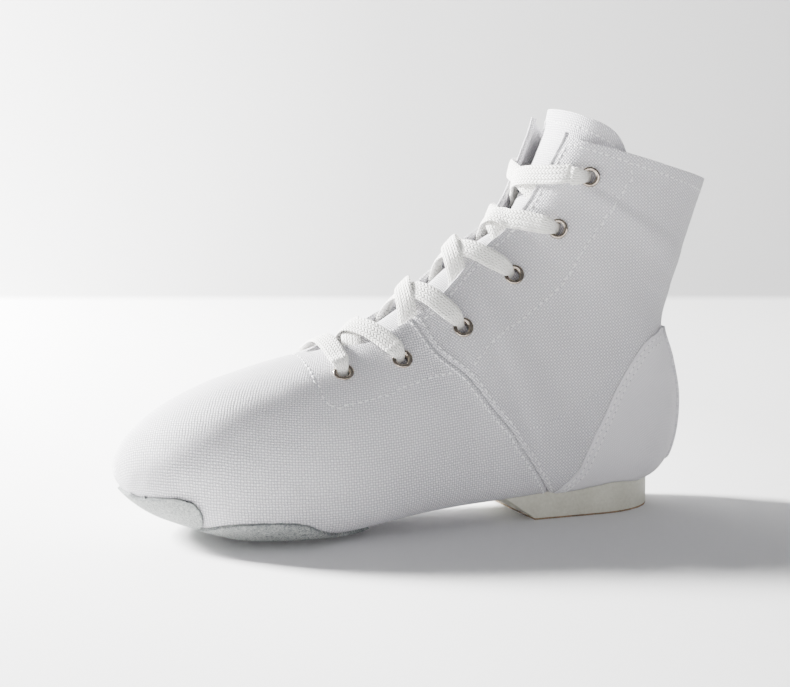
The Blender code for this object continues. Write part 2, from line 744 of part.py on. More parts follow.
def ribbon_mesh(route):
    """A flat lace along a route of (row, angle, height)."""
    points = [skin(*stop) for stop in route]
    normals = [last_normal(row, angle) for row, angle, _ in route]
    mesh = bmesh.new()
    bmesh.ops.create_grid(mesh, x_segments=len(route) - 1, y_segments=1, size=1)
    made = bmesh.ops.extrude_face_region(mesh, geom=mesh.faces[:], use_keep_orig=True)
    raised = [item for item in made["geom"] if isinstance(item, bmesh.types.BMVert)]
    bmesh.ops.translate(mesh, verts=raised, vec=(0, 0, 1))
    for vertex in mesh.verts:
        index = round((vertex.co.x + 1) / 2 * (len(route) - 1))
        ahead, behind = min(index + 1, len(route) - 1), max(index - 1, 0)
        along = (points[ahead] - points[behind]).normalized()
        across = along.cross(normals[index]).normalized()
        up = across.cross(along)
        vertex.co = (
            points[index]
            + across * vertex.co.y * LACE_WIDTH / 2
            + up * (2 * vertex.co.z - 1) * LACE_THICKNESS / 2
        )
    bmesh.ops.recalc_face_normals(mesh, faces=mesh.faces)
    return mesh


def lace_route(start, end, start_height, end_height):
    """A straight run over the last between two (length, angle) places, sinking once it is past the edge."""
    edge = math.copysign(throat_angle(row_at_length(start[0])), start[1])
    sink_start = (start[1] - edge) / (start[1] - end[1]) + LACE_EDGE_SHARE
    route = []
    for step in range(LACE_STEPS + 1):
        share = step / LACE_STEPS
        sunk = min(max((share - sink_start) / (LACE_SINK_END - sink_start), 0), 1)
        ease = sunk * sunk * (3 - 2 * sunk)
        length = start[0] + (end[0] - start[0]) * share
        angle = start[1] + (end[1] - start[1]) * share
        route.append((row_at_length(length), angle, start_height + (end_height - start_height) * ease))
    return route


def build_laces(places, finish):
    """A bar at the first pair of eyelets, then a crossing at each other pair."""
    over_eyelet = EYELET_SEAT + EYELET_FLANGE_RISE + LACE_LIFT + LACE_THICKNESS / 2
    on_tongue = -WALL - LACE_ROOM + LACE_LIFT + LACE_THICKNESS / 2
    at = {(pair, side): (crest_length(row), angle) for pair, side, _, _, row, angle in places}
    bar = ribbon_mesh(lace_route(at[0, 1], at[0, -1], over_eyelet, over_eyelet))
    add_object("lace_bar", bar, finish)
    for pair in range(1, len(EYELET_PAIRS)):
        straps = []
        for side in (1, -1):
            low, high = at[pair - 1, -side], at[pair, side]
            tuck_length = high[0] + (low[0] - high[0]) * LACE_TUCK
            tuck_angle = -side * throat_angle(row_at_length(tuck_length)) * LACE_TUCK_INSIDE
            route = lace_route(high, (tuck_length, tuck_angle), over_eyelet, on_tongue)
            name = f"lace_crossing_{pair + 1}" + ("" if side > 0 else "_strap")
            straps.append(add_object(name, ribbon_mesh(route), finish, SHOE if side > 0 else STRAPS))
        crossing, strap = straps
        strap.hide_render = True
        strap.display_type = "WIRE"
        join = crossing.modifiers.new("join", "BOOLEAN")
        join.operation = "UNION"
        join.object = strap
        join.solver = "EXACT"


def main():
    canvas = make_finish("canvas", (0.86, 0.87, 0.90), 0.9)
    lining = make_finish("insole_cloth", (0.80, 0.80, 0.80), 0.9)
    suede = make_finish("suede", (0.38, 0.40, 0.40), 0.95)
    rubber = make_finish("heel_rubber", (0.78, 0.79, 0.74), 0.6)
    tread = make_finish("tread_rubber", (0.55, 0.47, 0.36), 0.7)
    nickel = make_finish("nickel", (0.74, 0.70, 0.64), 0.25, 1.0)
    braid = make_finish("lace_braid", (0.90, 0.90, 0.85), 0.85)

    walls = build_upper(canvas)
    places = eyelet_places()
    punch_eyelet_holes(walls, places)
    build_eyelets(places, nickel)
    build_tongue(canvas)
    build_insole(lining)
    build_soles(suede)
    counter = build_counter(canvas)
    build_back_strip(canvas)
    build_heel(rubber, (*walls, counter))
    build_heel_tread(tread)
    build_laces(places, braid)


main()
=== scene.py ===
import math
from collections import namedtuple

import bmesh
import bpy
import numpy as np
from mathutils import Matrix, Vector
from mathutils.bvhtree import BVHTree
from mathutils.kdtree import KDTree


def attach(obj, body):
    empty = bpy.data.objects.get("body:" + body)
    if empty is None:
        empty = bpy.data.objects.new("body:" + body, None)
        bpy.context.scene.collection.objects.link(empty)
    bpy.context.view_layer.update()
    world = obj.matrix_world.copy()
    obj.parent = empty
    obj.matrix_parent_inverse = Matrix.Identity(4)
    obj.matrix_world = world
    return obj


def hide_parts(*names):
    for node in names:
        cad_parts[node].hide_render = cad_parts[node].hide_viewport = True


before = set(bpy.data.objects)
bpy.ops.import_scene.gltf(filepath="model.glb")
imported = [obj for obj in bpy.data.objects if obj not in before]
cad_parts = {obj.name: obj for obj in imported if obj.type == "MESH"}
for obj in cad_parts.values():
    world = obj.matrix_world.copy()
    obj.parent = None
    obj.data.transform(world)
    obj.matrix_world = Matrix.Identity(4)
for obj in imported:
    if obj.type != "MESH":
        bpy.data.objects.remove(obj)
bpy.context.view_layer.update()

# The camera, where the photo was taken from: degrees, metres and picture points
AZIMUTH = -22.0
ELEVATION = 8.0
DISTANCE = 1.060
FOCAL_POINTS = 2600.0
PICTURE = (790, 687)
CENTRE_POINT = (395.0, 317.0)
HEEL_CORNER = Vector((-0.026, -0.026, 0))
HEEL_CORNER_POINT = (535, 520)

# The last
LENGTH = 0.2395
HEEL_BACK = 0.0457
BALL_WIDTH = 0.084
ANKLE_WIDTH = 0.061
COLLAR_WIDTH = 0.070
INSTEP_HEIGHT = 0.124
COLLAR_FRONT_HEIGHT = 0.156
HEEL_SEAT_HEIGHT = 0.0085
ANKLE_HEIGHT = 0.073
COLLAR_BACK_HEIGHT = 0.135
TOE_SPRING = 0.015
TOE_TIP_HEIGHT = 0.027
TOE_CAP_LENGTH = 0.034
TOE_NOSE_LENGTH = 0.016
SOLE_STACK = 0.0015
TOP_X, TOP_LEVEL, LOW_X, LOW_LEVEL, GIRTH, WIDTH, LEAN, WIDEST, CREST, SEAT, GAP = range(11)
SECTIONS = np.array((
    (1.000, 0.339, 1.000, -1.00, 0, 0.635, 0.060, 0.45, 2.00, 2.3, 0.0),
    (0.958, 0.361, 0.958, -0.73, 0, 0.740, 0.055, 0.42, 2.00, 2.6, 0.0),
    (0.900, 0.427, 0.900, -0.39, 0, 0.847, 0.045, 0.37, 2.05, 3.2, 0.0),
    (0.825, 0.492, 0.825, -0.07, 0, 0.953, 0.025, 0.32, 2.05, 4.0, 0.0),
    (0.742, 0.540, 0.742, 0.00, 0, 1.000, 0.008, 0.29, 2.00, 4.4, 0.0),
    (0.667, 0.577, 0.663, 0.06, 0, 0.988, -0.010, 0.28, 1.95, 4.4, 0.0),
    (0.601, 0.629, 0.584, 0.30, 0, 0.930, -0.025, 0.28, 1.85, 3.8, 1.0),
    (0.534, 0.704, 0.489, 0.58, 0, 0.847, -0.030, 0.29, 1.80, 3.4, 1.12),
    (0.476, 0.780, 0.385, 0.78, 0, 0.788, -0.025, 0.31, 1.80, 3.6, 1.12),
    (0.430, 0.847, 0.277, 0.94, 1, 1.060, -0.012, 0.33, 1.85, 4.0, 1.0),
    (0.393, 0.899, 0.168, 1.00, 1, 1.040, 0.000, 0.36, 1.90, 4.0, 0.9),
    (0.364, 0.934, 0.085, 1.03, 1, 1.020, 0.000, 0.40, 1.95, 3.8, 0.8),
    (0.343, 0.954, 0.035, 1.11, 1, 1.005, 0.000, 0.43, 2.00, 3.2, 0.78),
    (0.329, 0.974, 0.008, 1.29, 1, 0.990, 0.000, 0.46, 2.00, 2.8, 0.76),
    (0.318, 0.990, 0.000, 1.53, 1, 0.980, 0.000, 0.48, 2.00, 2.6, 0.76),
    (0.308, 1.040, 0.011, 1.77, 1, 0.975, 0.000, 0.50, 2.05, 2.5, 0.78),
    (0.292, 1.200, 0.029, 2.00, 1, 0.975, 0.000, 0.50, 2.10, 2.4, 0.85),
    (0.277, 1.410, 0.013, 2.24, 1, 1.010, 0.000, 0.50, 2.15, 2.3, 0.95),
    (0.262, 1.635, -0.010, 2.53, 1, 1.060, 0.000, 0.50, 2.20, 2.3, 1.1),
    (0.249, 1.840, -0.030, 2.78, 2, 0.965, 0.000, 0.50, 2.20, 2.3, 1.2),
    (0.239, 2.000, -0.049, 3.00, 2, 1.000, 0.000, 0.50, 2.20, 2.3, 1.25),
    (0.2245, 2.340, -0.067, 3.24, 2, 1.037, 0.000, 0.50, 2.20, 2.3, 1.25),
))
COLLAR_ROW = 20
THROAT_HALF_WIDTH = 0.0118
THROAT_START = 4.92
THROAT_ROUNDING = 0.45
WALL = 0.0018

# Eyelets: the row of the last and the distance from the throat's edge
EYELETS = (
    (5.36, 0.01938), (6.76, 0.01411), (8.42, 0.01717),
    (10.84, 0.01700), (15.65, 0.01802), (18.31, 0.01870),
)
EYELET_HOLE = 0.0030

# The seam between vamp and quarters: shares of the way from the throat to underneath, and rows
SEAM = np.array((
    (0, 7.37), (0.13, 7.58), (0.23, 8.07), (0.34, 8.40),
    (0.42, 8.65), (0.5, 8.85), (0.75, 9.04), (1, 9.10),
))
SEAM_ROW = 8
SEAM_BEND_START = 5.5
SEAM_BEND_END = 12.0

# Stitched lines on the near half, as rows and degrees; each has its twin on the far half
STAY_LINE = (
    (19.3, 76), (18.95, 79), (18.25, 77), (17.1, 73), (16.5, 71), (15.4, 66),
    (14.5, 62), (12.1, 56), (9.5, 55), (8.26, 59),
)
VAMP_STAY_LINE = (
    (7.97, 59), (7.0, 54), (6.44, 53), (5.43, 50), (4.83, 48), (4.71, 36), (4.63, 22), (4.67, 1),
)


def between(levels, value):
    """Reads a list of sizes at a place between two of its entries."""
    levels = np.asarray(levels, float)
    index = np.clip(np.floor(value).astype(int), 0, len(levels) - 2)
    return levels[index] + (levels[index + 1] - levels[index]) * (value - index)


def column(number, u):
    """A column of the sections at row u, on a cubic through the rows."""
    last_row = len(SECTIONS) - 1
    index = np.clip(np.floor(u).astype(int), 0, last_row - 1)
    share = u - index
    values = SECTIONS[:, number]
    before, start, end, after = (values[np.clip(index + step, 0, last_row)] for step in (-1, 0, 1, 2))
    leave = (end - before) / np.where(index > 0, 2, 1)
    arrive = (after - start) / np.where(index < last_row - 1, 2, 1)
    square, cube = share**2, share**3
    return (
        start * (2 * cube - 3 * square + 1)
        + leave * (cube - 2 * square + share)
        + end * (3 * square - 2 * cube)
        + arrive * (cube - square)
    )


def walked_along(points):
    """How far each point of a line is from its start, along the line."""
    return np.concatenate(((0,), np.cumsum(np.linalg.norm(np.diff(points, axis=0), axis=1))))


def swell(distance, reach):
    """A round end: 0 at its tip and 1 from the reach onwards."""
    short = 1 - np.clip(distance / reach, 0, 1)
    return np.sqrt(np.maximum(1 - short**2, 0))


def half_width(u):
    """Half the last's width at row u."""
    girth = between((BALL_WIDTH, ANKLE_WIDTH, COLLAR_WIDTH), column(GIRTH, u))
    return girth * column(WIDTH, u) / 2 * swell((1 - column(TOP_X, u)) * LENGTH, TOE_CAP_LENGTH)


def last(u, angle):
    """The shoe's outside. angle is 0 on the crest, pi underneath and positive on the near side."""
    u, angle = np.broadcast_arrays(np.asarray(u, float), np.asarray(angle, float))
    top_z = between((0, INSTEP_HEIGHT, COLLAR_FRONT_HEIGHT), column(TOP_LEVEL, u))
    lows = (SOLE_STACK + TOE_SPRING, SOLE_STACK, HEEL_SEAT_HEIGHT, ANKLE_HEIGHT, COLLAR_BACK_HEIGHT)
    low_z = between(lows, column(LOW_LEVEL, u) + 1)
    top_x = HEEL_BACK - column(TOP_X, u) * LENGTH
    low_x = HEEL_BACK - column(LOW_X, u) * LENGTH
    nose = swell(top_x - HEEL_BACK + LENGTH, TOE_NOSE_LENGTH)
    top_z = TOE_TIP_HEIGHT + (top_z - TOE_TIP_HEIGHT) * nose
    low_z = TOE_TIP_HEIGHT + (low_z - TOE_TIP_HEIGHT) * nose
    cosine, sine = np.cos(angle), np.sin(angle)
    over = cosine >= 0
    power = 2 / np.where(over, column(CREST, u), column(SEAT, u))
    widest = column(WIDEST, u)
    height = widest + np.where(over, 1 - widest, -widest) * np.abs(cosine) ** power
    side = np.sign(sine) * np.abs(sine) ** power
    x = low_x + (top_x - low_x) * height
    z = low_z + (top_z - low_z) * height
    y = column(LEAN, u) * BALL_WIDTH - side * half_width(u)
    return np.stack((x, y, z), -1)


def outward(u, angle):
    """The outward normal of the shoe's outside."""
    step = 0.02
    u = np.maximum(u, 0.02)
    along = last(np.minimum(u + step, 21), angle) - last(np.maximum(u - step, 0), angle)
    around = last(u, angle + step) - last(u, angle - step)
    normal = np.cross(around, along)
    return normal / np.maximum(np.linalg.norm(normal, axis=-1, keepdims=True), 1e-12)


def skin(u, angle, height):
    """A point that stands off the shoe's outside, or lies inside it where height is negative."""
    return last(u, angle) + outward(u, angle) * np.asarray(height)[..., None]


def ease(share):
    """A soft step from 0 to 1."""
    share = np.clip(share, 0, 1)
    return share * share * (3 - 2 * share)


def throat(u):
    """The angle of the throat's edge at row u."""
    u = np.asarray(u, float)
    share = np.clip((u - THROAT_START) / THROAT_ROUNDING, 0, 1)
    width = THROAT_HALF_WIDTH * column(GAP, np.maximum(u, THROAT_START + THROAT_ROUNDING))
    width = width * np.sqrt(1 - (1 - share) ** 2)
    return np.arcsin(np.minimum(width / np.maximum(half_width(u), 1e-6), 1) ** (column(CREST, u) / 2))


def angle_at_inset(u, inset):
    """The angle at a distance from the throat's edge, measured over the surface."""
    angles = throat(u) + np.radians(np.arange(0, 90, 0.25))
    points = last(np.full_like(angles, u), angles)
    walked = walked_along(points)
    return float(np.interp(inset, walked, angles))


def smooth_line(stops, steps=12):
    """A fine line through a few stops."""
    stops = np.asarray(stops, float)
    padded = np.vstack((2 * stops[0] - stops[1], stops, 2 * stops[-1] - stops[-2]))
    line = []
    for before, start, end, after in zip(padded, padded[1:], padded[2:], padded[3:]):
        leave, arrive = (end - before) / 2, (after - start) / 2
        for share in np.arange(steps) / steps:
            square, cube = share**2, share**3
            line.append(
                start * (2 * cube - 3 * square + 1)
                + leave * (cube - 2 * square + share)
                + end * (3 * square - 2 * cube)
                + arrive * (cube - square)
            )
    return np.array(line + [stops[-1]])


FINE_SEAM = smooth_line(SEAM)
FAR_CORNER_REACH = 0.9
FAR_CORNER_RISE = 0.32
FAR_EDGE_LIFT = 0.0017


def far_lift(u, angle):
    """How far the far quarter's front edge, and the laces on it, stand off the last."""
    away = np.abs(angle) - throat(u)
    near = np.where(away < 0, ease(1 + away / np.maximum(throat(u), 1e-3)), ease(1 - away / 0.32))
    span = ease((u - 5.6) / 1.6)
    return FAR_EDGE_LIFT * near * span * (angle < 0)


def mesh_place(row, turn):
    """The row and angle of a place on the cloth, whose rows bend so that one is the seam. turn is 0 to 1."""
    reach = np.where(row < SEAM_ROW, SEAM_ROW - SEAM_BEND_START, SEAM_BEND_END - SEAM_ROW)
    near = ease(1 - np.abs(row - SEAM_ROW) / reach)
    share = 2 * np.minimum(turn, 1 - turn)
    u = row + (np.interp(share, FINE_SEAM[:, 0], FINE_SEAM[:, 1]) - SEAM_ROW) * near
    start = np.where(u > THROAT_START, throat(u), 0)
    angle = start + (math.tau - 2 * start) * turn
    far = ease(1 - (math.tau - start - angle) / FAR_CORNER_REACH)
    return u + FAR_CORNER_RISE * far * ease((row - 17) / 3), angle


def even_place(row, share):
    """The row and angle at a share of the way round a row, measured over the surface."""
    turns = np.linspace(0, 1, 1601)
    turn = np.array(share, float)
    group = np.round(row, 4)
    for value in np.unique(group):
        points = last(*mesh_place(np.full(len(turns), value), turns))
        walked = walked_along(points)
        if walked[-1] > 1e-5:
            chosen = group == value
            turn[chosen] = np.interp(share[chosen], walked / walked[-1], turns)
    return mesh_place(row, turn)


def on_last(stops, side=1):
    """A line of rows and degrees, laid on one half of the last."""
    line = smooth_line(stops)
    return line[:, 0], side * np.radians(line[:, 1])


def crest_lengths():
    """Close rows along the crest, and how far along the crest each one is."""
    rows = np.arange(0, 21.01, 0.02)
    points = last(rows, 0)
    return rows, walked_along(points)


CREST_ROWS, CREST_LENGTHS = crest_lengths()


# Making and finishing pieces

def deselect():
    """Lets go of everything, so that an operator acts only on what is picked next."""
    bpy.ops.object.select_all(action="DESELECT")


def pick(item):
    """Selects one piece and makes it the active one."""
    deselect()
    item.select_set(True)
    bpy.context.view_layer.objects.active = item


def name_piece(item, name):
    item.name = item.data.name = name
    return item


def corners(item):
    """The places of a piece's vertices, as rows of x, y and z."""
    points = np.empty(len(item.data.vertices) * 3)
    item.data.vertices.foreach_get("co", points)
    return points.reshape(-1, 3)


def lay(item, points):
    """Moves a piece's vertices to the given places."""
    item.data.vertices.foreach_set("co", np.ascontiguousarray(points, float).ravel())
    item.data.update()


def add_grid(name, rows, columns):
    """A flat grid, and the place of each of its corners from 0 to 1 both ways."""
    deselect()
    bpy.ops.mesh.primitive_grid_add(x_subdivisions=rows, y_subdivisions=columns, size=2)
    item = name_piece(bpy.context.object, name)
    flat = corners(item)
    return item, (flat[:, 0] + 1) / 2, (flat[:, 1] + 1) / 2


def lay_pattern(item, places, name="cloth"):
    """Writes where each corner lies on the uncut cloth, in metres, as a UV map."""
    layers = item.data.uv_layers
    layer = layers.get(name) or layers.new(name=name)
    index = np.empty(len(item.data.loops), dtype=np.int32)
    item.data.loops.foreach_get("vertex_index", index)
    layer.uv.foreach_set("vector", np.ascontiguousarray(places[index], dtype=np.float32).ravel())


def keep_one_pattern(item, name="cloth"):
    """Leaves a piece only the UV map that its material reads."""
    layers = item.data.uv_layers
    for layer in [layer.name for layer in layers if layer.name != name]:
        layers.remove(layers[layer])
    layers.active = layers[name]
    layers[name].active_render = True


def merge(item, distance=1e-5):
    """Closes a piece where its vertices meet, and turns its faces outwards."""
    pick(item)
    bpy.ops.object.mode_set(mode="EDIT")
    bpy.ops.mesh.select_all(action="SELECT")
    bpy.ops.mesh.remove_doubles(threshold=distance)
    bpy.ops.mesh.normals_make_consistent(inside=False)
    bpy.ops.object.mode_set(mode="OBJECT")


def apply_all(item):
    """Makes a piece's modifiers part of its mesh."""
    pick(item)
    for modifier in list(item.modifiers):
        bpy.ops.object.modifier_apply(modifier=modifier.name)


def give_thickness(item, thickness, offset=-1.0, rim=0.0):
    """A wall on one side of the sheet, with its rim rounded."""
    wall = item.modifiers.new("wall", "SOLIDIFY")
    wall.thickness = thickness
    wall.offset = offset
    if rim:
        soft = item.modifiers.new("rim", "BEVEL")
        soft.width = rim
        soft.segments = 3
        soft.limit_method = "ANGLE"
        soft.angle_limit = math.radians(55)
    apply_all(item)


def finish(item, material, slot, *nodes):
    """Gives a piece its material and its place in the shoe."""
    item.data.materials.clear()
    item.data.materials.append(material)
    item.data.shade_smooth()
    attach(item, "root")
    if nodes:
        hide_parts(*nodes)
    return item


def joined(name, pieces):
    """Several pieces as one mesh."""
    deselect()
    for piece in pieces:
        piece.select_set(True)
    bpy.context.view_layer.objects.active = pieces[0]
    bpy.ops.object.join()
    return name_piece(bpy.context.object, name)


def soft_noise(points, size, seed):
    """A smooth uneven swell, from -1 to 1, with waves of about the given size."""
    random = np.random.default_rng(seed)
    total = np.zeros(len(points))
    for _ in range(7):
        direction = random.normal(size=3)
        direction *= math.tau / size / np.linalg.norm(direction) * random.uniform(0.6, 1.5)
        total += np.sin(points @ direction + random.uniform(0, math.tau))
    return total / 7


def distances(points, lines):
    """How far each point is from the nearest of some lines."""
    stops = np.vstack(lines)
    tree = KDTree(len(stops))
    for index, stop in enumerate(stops):
        tree.insert(stop, index)
    tree.balance()
    return np.array([tree.find(point)[2] for point in points])


def ridge(distance, width):
    """A rounded ridge: 1 on its line and 0 well beside it."""
    return np.exp(-((distance / width) ** 2))


# Lines that are sewn or folded, as points on the last

def both_halves(stops):
    """A line of rows and degrees on the near half, and its twin on the far half."""
    lines = []
    for side in (1, -1):
        u, angle = on_last(stops, side)
        lines.append(last(u, angle))
    return lines


SEAM_LINE = [last(*mesh_place(np.full(400, SEAM_ROW, float), np.linspace(0, 1, 400)))]
STAY_LINES = both_halves(STAY_LINE) + both_halves(VAMP_STAY_LINE)


def throat_line(first, final, inset):
    """A line beside the throat's edge, as rows and angles on the near half."""
    rows = np.linspace(first, final, 120)
    return rows, np.array([angle_at_inset(row, inset) for row in rows])


def eyelet_places():
    """The pair, side, row, angle, point and normal of each eyelet."""
    places = []
    for pair, (row, inset) in enumerate(EYELETS):
        for side in (1, -1):
            angle = side * angle_at_inset(row, inset)
            places.append((pair, side, row, angle, last(row, angle), outward(row, angle)))
    return places


EYELET_PLACES = eyelet_places()


# Canvas of the vamp and the quarters

VAMP_ROWS = np.concatenate((
    (0, 0.05, 0.16, 0.35, 0.65),
    np.arange(1, 4.6, 0.5),
    (4.75,),
    THROAT_START + THROAT_ROUNDING * np.array((0, 0.03, 0.14, 0.4, 0.7, 1)),
    np.arange(5.7, 7.6, 0.3),
    (7.8, 7.93, 7.994),
))
QUARTER_ROWS = np.concatenate(((8.004, 8.07, 8.2), np.arange(8.5, 20.1, 0.5)))
CANVAS_COLUMNS = 48
VAMP_GRAIN = (1, 0)
QUARTER_GRAIN = (0.66, 0.75)
# The part of each half that faces the side, farther than this from the shoe's middle
FLAT_SIDE = 0.018


def relief(points):
    """How far the cloth stands out or sinks in: seams, stitched lines and soft waves."""
    from_seam = distances(points, SEAM_LINE)
    from_stay = distances(points, STAY_LINES)
    height = 0.00032 * ridge(from_seam - 0.0016, 0.0011) - 0.00045 * ridge(from_seam, 0.0007)
    height += 0.00008 * ridge(from_stay - 0.0014, 0.0009) - 0.00022 * ridge(from_stay, 0.0007)
    free = ease((points[:, 2] - 0.006) / 0.02)
    height += free * 0.00042 * soft_noise(points, 0.034, 3)
    height += free * 0.00016 * soft_noise(points, 0.013, 8)
    toe = ridge(points[:, 0] + 0.178, 0.016) * ridge(points[:, 2] - 0.019, 0.010)
    height += 0.00045 * toe * soft_noise(points * (1, 1, 0.25), 0.0065, 21)
    return height


def level_pattern(item, sides, direction):
    """Turns and scales each half's pattern so that its threads run as cut and measure true."""
    data = item.data
    points = corners(item)
    layer = data.uv_layers["cloth"]
    flat = np.empty(len(data.loops) * 2, dtype=np.float32)
    layer.uv.foreach_get("vector", flat)
    flat = flat.reshape(-1, 2).astype(float)
    places = flat[:, 0] + 1j * flat[:, 1]
    index = np.empty(len(data.loops), dtype=np.int32)
    data.loops.foreach_get("vertex_index", index)
    starts = np.array([face.loop_start for face in data.polygons])
    totals = np.array([face.loop_total for face in data.polygons])
    face_of = np.repeat(np.arange(len(starts)), totals)
    following = np.arange(len(index)) + 1
    following[starts + totals - 1] = starts
    edge = points[index[following]] - points[index]
    warp = np.array((direction[0], 0, direction[1]))
    weft = np.array((-direction[1], 0, direction[0]))
    seen = edge @ warp + 1j * (edge @ weft)
    drawn = places[following] - places
    middle = np.array([face.center[1] for face in data.polygons])[face_of]
    for side in sides:
        facing = (middle * side < -FLAT_SIDE)
        straight = np.abs(np.sum(seen[facing] * drawn[facing].conj()))
        mirrored = np.abs(np.sum(seen[facing] * drawn[facing])) > straight
        part = (middle * side < 0) if len(sides) > 1 else np.ones(len(middle), bool)
        value = places[part].conj() if mirrored else places[part]
        step = drawn[facing].conj() if mirrored else drawn[facing]
        value = value * np.sum(seen[facing] * step.conj()) / np.sum(np.abs(step) ** 2)
        places[part] = value
    flat[:, 0], flat[:, 1] = places.real, places.imag
    layer.uv.foreach_set("vector", flat.astype(np.float32).ravel())


def make_canvas(name, rows, columns, direction, sides):
    """A piece of the upper, cut flat, laid on the last and refined, with its eyelet holes."""
    item, s, t = add_grid(name, len(rows) - 1, columns)
    row = np.interp(s, np.linspace(0, 1, len(rows)), rows)
    item.data.uv_layers[0].name = "cloth"
    lay_pattern(item, np.stack((row, t), 1), "place")
    lay(item, last(*even_place(row, t)))
    merge(item)
    bpy.ops.object.mode_set(mode="EDIT")
    bpy.ops.mesh.select_mode(type="EDGE")
    bpy.ops.mesh.select_all(action="DESELECT")
    bpy.ops.object.mode_set(mode="OBJECT")
    middle = {vertex for vertex, turn in zip(*first_places(item)) if abs(turn[1] - 0.5) < 1e-4}
    for edge in item.data.edges:
        edge.use_seam = edge.vertices[0] in middle and edge.vertices[1] in middle
    item.data.uv_layers.active = item.data.uv_layers["cloth"]
    bpy.ops.object.mode_set(mode="EDIT")
    bpy.ops.mesh.select_mode(type="FACE")
    bpy.ops.mesh.select_all(action="SELECT")
    bpy.ops.uv.unwrap(method="MINIMUM_STRETCH", iterations=30)
    bpy.ops.object.mode_set(mode="OBJECT")
    level_pattern(item, sides, direction)
    bpy.ops.object.mode_set(mode="EDIT")
    bpy.ops.mesh.select_all(action="SELECT")
    bpy.ops.mesh.subdivide(number_cuts=3)
    bpy.ops.object.mode_set(mode="OBJECT")
    _, places = first_places(item)
    u, angle = even_place(places[:, 0], places[:, 1])
    points = last(u, angle)
    height = relief(points) + far_lift(u, (angle + math.pi) % math.tau - math.pi)
    lay(item, points + outward(u, angle) * height[:, None])
    open_eyelets(item)
    keep_one_pattern(item)
    give_thickness(item, WALL, rim=0.0005)
    return item


def first_places(item):
    """The vertices, and the row and turn of each."""
    data = item.data
    flat = np.empty(len(data.loops) * 2, dtype=np.float32)
    data.uv_layers["place"].uv.foreach_get("vector", flat)
    index = np.empty(len(data.loops), dtype=np.int32)
    data.loops.foreach_get("vertex_index", index)
    places = np.zeros((len(data.vertices), 2))
    places[index] = flat.reshape(-1, 2)
    return range(len(places)), places


def open_eyelets(item):
    """Takes out the cloth inside each eyelet and makes the holes round."""
    mesh = bmesh.new()
    mesh.from_mesh(item.data)
    for *_, point, normal in EYELET_PLACES:
        centre, axis = Vector(point), Vector(normal)
        inside = [face for face in mesh.faces if (face.calc_center_median() - centre).length < EYELET_HOLE]
        if not inside:
            continue
        bmesh.ops.delete(mesh, geom=inside, context="FACES")
        for vertex in mesh.verts:
            spoke = vertex.co - centre
            if vertex.is_boundary and spoke.length < 2 * EYELET_HOLE:
                flat = spoke - axis * spoke.dot(axis)
                vertex.co += flat.normalized() * EYELET_HOLE - flat
    mesh.to_mesh(item.data)
    mesh.free()


# Pieces that lie on the last between an edge line and the middle underneath

COUNTER_EDGE = (
    (9.10, 160), (9.19, 144.6), (9.30, 132), (9.46, 123), (9.63, 115.8), (9.93, 103.8), (10.30, 96.9),
    (10.65, 93.9), (11.08, 92.1), (11.67, 91.5), (12.26, 92.1), (12.80, 93.9), (13.41, 97.2),
    (14.00, 102), (14.72, 111.9), (15.35, 126), (15.75, 138),
)
COUNTER_MIDDLE = (9.12, 10.6, 12.0, 13.2, 14.4, 15.3, 16.05)
TOE_PATCH_EDGE = (
    (0.42, 152), (0.56, 146), (0.88, 119.7), (1.18, 107.4), (1.45, 101.4), (1.67, 99.3), (1.82, 99.9),
    (1.93, 102.3), (2.02, 107.7), (2.08, 114.9), (2.11, 122.7), (2.14, 134.1), (2.16, 152),
)
TOE_PATCH_MIDDLE = (0.42, 0.62, 1.0, 1.45, 1.9, 2.2)
BALL_PATCH_EDGE = (
    (2.25, 162), (2.30, 140), (2.44, 124), (2.72, 112.5), (2.93, 108), (3.21, 104.7), (3.48, 104.1),
    (3.75, 104.1), (3.99, 105), (4.16, 108.9), (4.33, 115.8), (4.55, 124.5), (4.80, 136.8), (5.15, 146),
    (5.45, 150), (5.75, 158),
)
BALL_PATCH_MIDDLE = (2.28, 2.7, 3.5, 4.4, 5.2, 5.9)
CENTRE = np.array((-0.07, 0.0, 0.05))


def cloth_places(points, shape):
    """How far each corner of a grid lies from the grid's middle lines, over the surface."""
    grid = points.reshape(shape + (3,))
    across = np.zeros(shape)
    along = np.zeros(shape)
    across[1:] = np.cumsum(np.linalg.norm(np.diff(grid, axis=0), axis=2), axis=0)
    along[:, 1:] = np.cumsum(np.linalg.norm(np.diff(grid, axis=1), axis=2), axis=1)
    across -= across[shape[0] // 2]
    along -= along[:, shape[1] // 2][:, None]
    return np.stack((across.ravel(), along.ravel()), 1)


def face_out(item, centre=CENTRE):
    """Turns the faces of a sheet away from a point inside the shoe."""
    data = item.data
    middle = Vector(centre)
    total = sum((Vector(face.center) - middle).dot(face.normal) * face.area for face in data.polygons)
    if total < 0:
        data.flip_normals()


def even_stops(line, shares):
    """Reads a line of rows and degrees at shares of its own length."""
    line = smooth_line(line)
    points = last(line[:, 0], np.radians(line[:, 1]))
    walked = walked_along(points)
    walked /= walked[-1]
    return np.interp(shares, walked, line[:, 0]), np.radians(np.interp(shares, walked, line[:, 1]))


